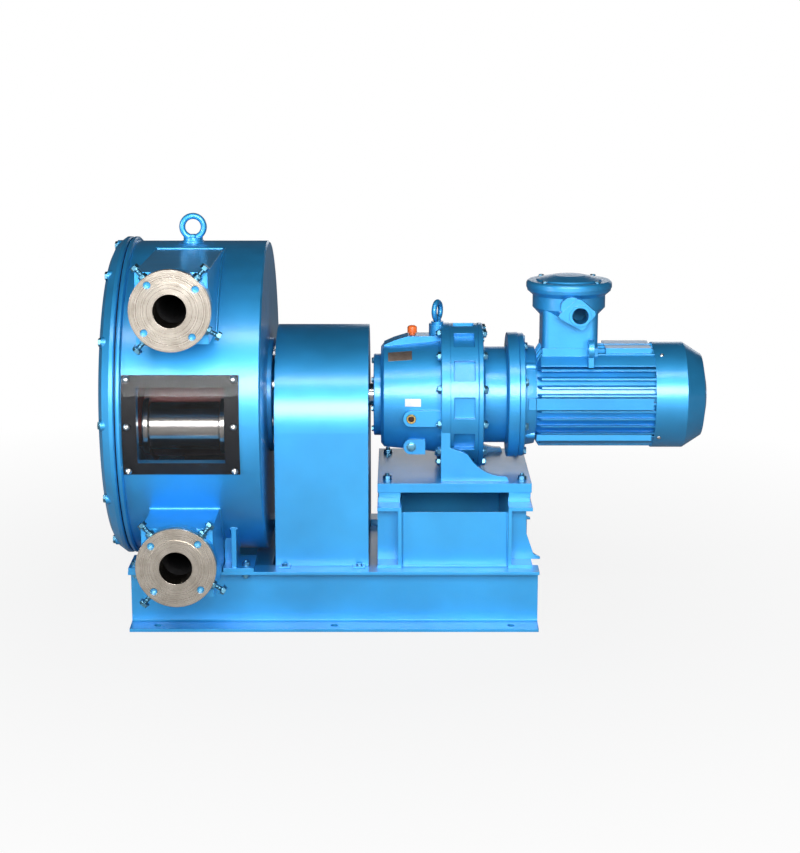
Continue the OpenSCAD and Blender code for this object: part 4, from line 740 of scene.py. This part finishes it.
def lay_welds():
    """Weld beads in the corners that show."""
    beads = weld_beads()

    def weld_piece(name, lines, radius, ripple, **more):
        mesh = grow(name, line_mesh(name, lines), beads, "blue_sheet", Radius=radius * MM,
                    Ripple=ripple * MM, **more)
        add_piece(name, mesh, "root")

    weld_piece("nozzle_welds", [nozzle_seam(1), nozzle_seam(-1)], 4.5, 4.0)
    # the saddle plates of the drum feet, along the drum
    hugs = [([(x, side * y, SHAFT_Z - drum_chord(y)) for y in range(176, 285, 6)], False)
            for x in (-491, -477, -261, -247) for side in (-1, 1)]
    weld_piece("foot_welds", hugs, 3.2, 3.2, Seed=7)
    # the plates of the gearbox stand, along their feet and both upright edges
    x0, x1, z0, z1 = 174, 445, 162.5, 304
    edges = []
    for y in (-243.3, 243.3):
        edges += [([(x0, y, z0), (x0, y, z1)], False), ([(x1, y, z0), (x1, y, z1)], False),
                  ([(x0 + 2, y, z0 - 1), (x1 - 2, y, z0 - 1)], False)]
    weld_piece("stand_welds", edges, 3.2, 3.2, Seed=9)


aim_camera()
world_light()
lay_floor()
soft_box("front_box", (0.5, -4.7, 2.15), (0.1, 0.0, 0.55), (3.4, 1.5), 290)
soft_box("high_box", (0.2, -2.7, 4.1), (0.0, 0.0, 0.55), (3.2, 0.5), 62)
soft_box("left_box", (-3.6, -2.6, 1.3), (-0.3, 0.0, 0.6), (1.2, 1.4), 95)
soft_box("back_box", (1.4, 4.6, 1.3), (0.0, 0.0, 0.55), (3.0, 1.2), 16)

finishes = {
    "blue_sheet": paint("blue_sheet", PUMP_BLUE, 5, 0.05),
    "blue_cast": paint("blue_cast", PUMP_BLUE, 4, 0.06, cast_depth=0.35, edge=2.0),
    "blue_turned": paint("blue_turned", PUMP_BLUE, 5, 0.04, cast_depth=0.08, edge=1.5),
    "red_paint": paint("red_paint", (0.12, 0.01, 0.009), 5, 0.05),
    "zinc": bare_metal("zinc", (0.62, 0.62, 0.60), 0.34),
    "shaft_steel": bare_metal("shaft_steel", (0.66, 0.65, 0.63), 0.22, 0.8, (0.05, 1, 1), 0.02),
    "roller_steel": bare_metal("roller_steel", (0.42, 0.40, 0.38), 0.2, 0.9, (1, 0.05, 0.05), 0.015),
    "grey_iron": bare_metal("grey_iron", (0.30, 0.29, 0.28), 0.5, 2.0, depth=0.12),
    "bolt_paint": bare_metal("bolt_paint", (0.16, 0.42, 0.60), 0.34, 2.0, depth=0.04, stain=0.35),
    "brass": bare_metal("brass", (0.80, 0.55, 0.20), 0.28),
    "upper_flange": turned_steel("upper_flange", (HOSE_X, 0, SHAFT_Z + PORT_H), (0, 1, 0)),
    "lower_flange": turned_steel("lower_flange", (HOSE_X, 0, SHAFT_Z - PORT_H), (0, 1, 0)),
    "hose_rubber": rubber("hose_rubber", (0.014, 0.014, 0.015), 0.55),
    "gasket": rubber("gasket", (0.006, 0.006, 0.008), 0.42, 2.5, 0.01, 0.2),
    "seal_rubber": rubber("seal_rubber", (0.02, 0.02, 0.02), 0.5),
    "pane": clear_sheet("pane", (0.05, 0.055, 0.06), 0.08),
    "fan_plastic": rubber("fan_plastic", (0.016, 0.016, 0.018), 0.42, 0.7, 0.03),
    "breather_cap": rubber("breather_cap", (0.72, 0.13, 0.02), 0.35, 0.9, 0.02),
    "sight_glass": rubber("sight_glass", (0.03, 0.012, 0.006), 0.08, 3, 0.01),
    "type_plate": bare_metal("type_plate", (0.50, 0.40, 0.34), 0.5, 0.8, (0.06, 1, 1), stain=0.4),
    "white_plate": rubber("white_plate", (0.62, 0.63, 0.66), 0.4, 1.5, 0.01),
}

node_finish = {
    "blue_sheet": "base_channels base_crossbeams drum_feet stand_legs stand_plates gearbox_shims "
                  "port_nozzles coupling_guard fan_cowl drum_shell front_cover clamp_rings",
    "blue_cast": "gearbox_housing gearbox_ring motor_frame motor_lug terminal_box terminal_lid "
                 "motor_adapter motor_shield",
    "blue_turned": "output_cover bearing_housing drum_eye_bolt gearbox_eye_bolt",
    "red_paint": "rotor",
    "zinc": "cover_bolts clamp_screws drum_foot_bolts gearbox_foot_bolts ring_bolts housing_bolts "
            "window_screws small_screws rotor_end_disc gearbox_plugs coupling_pins",
    "shaft_steel": "pump_shaft output_shaft motor_shaft roller_axles shaft_bearings ring_pins "
                   "gearbox_bearings motor_bearings roller_bearings_a roller_bearings_b "
                   "cycloid_disc_a cycloid_disc_b",
    "roller_steel": "roller_a roller_b",
    "grey_iron": "coupling_halves motor_stator",
    "upper_flange": "upper_port_flange",
    "lower_flange": "lower_port_flange",
    "hose_rubber": "hose",
    "gasket": "window_gasket cover_gasket",
    "seal_rubber": "shaft_seal",
    "pane": "window_pane",
    "fan_plastic": "cooling_fan",
}
for finish, names in node_finish.items():
    for name in names.split():
        mesh = nodes[name].data
        mesh.materials.clear()
        mesh.materials.append(finishes[finish])

set_fasteners()
lay_welds()

scene.view_settings.view_transform = "Standard"
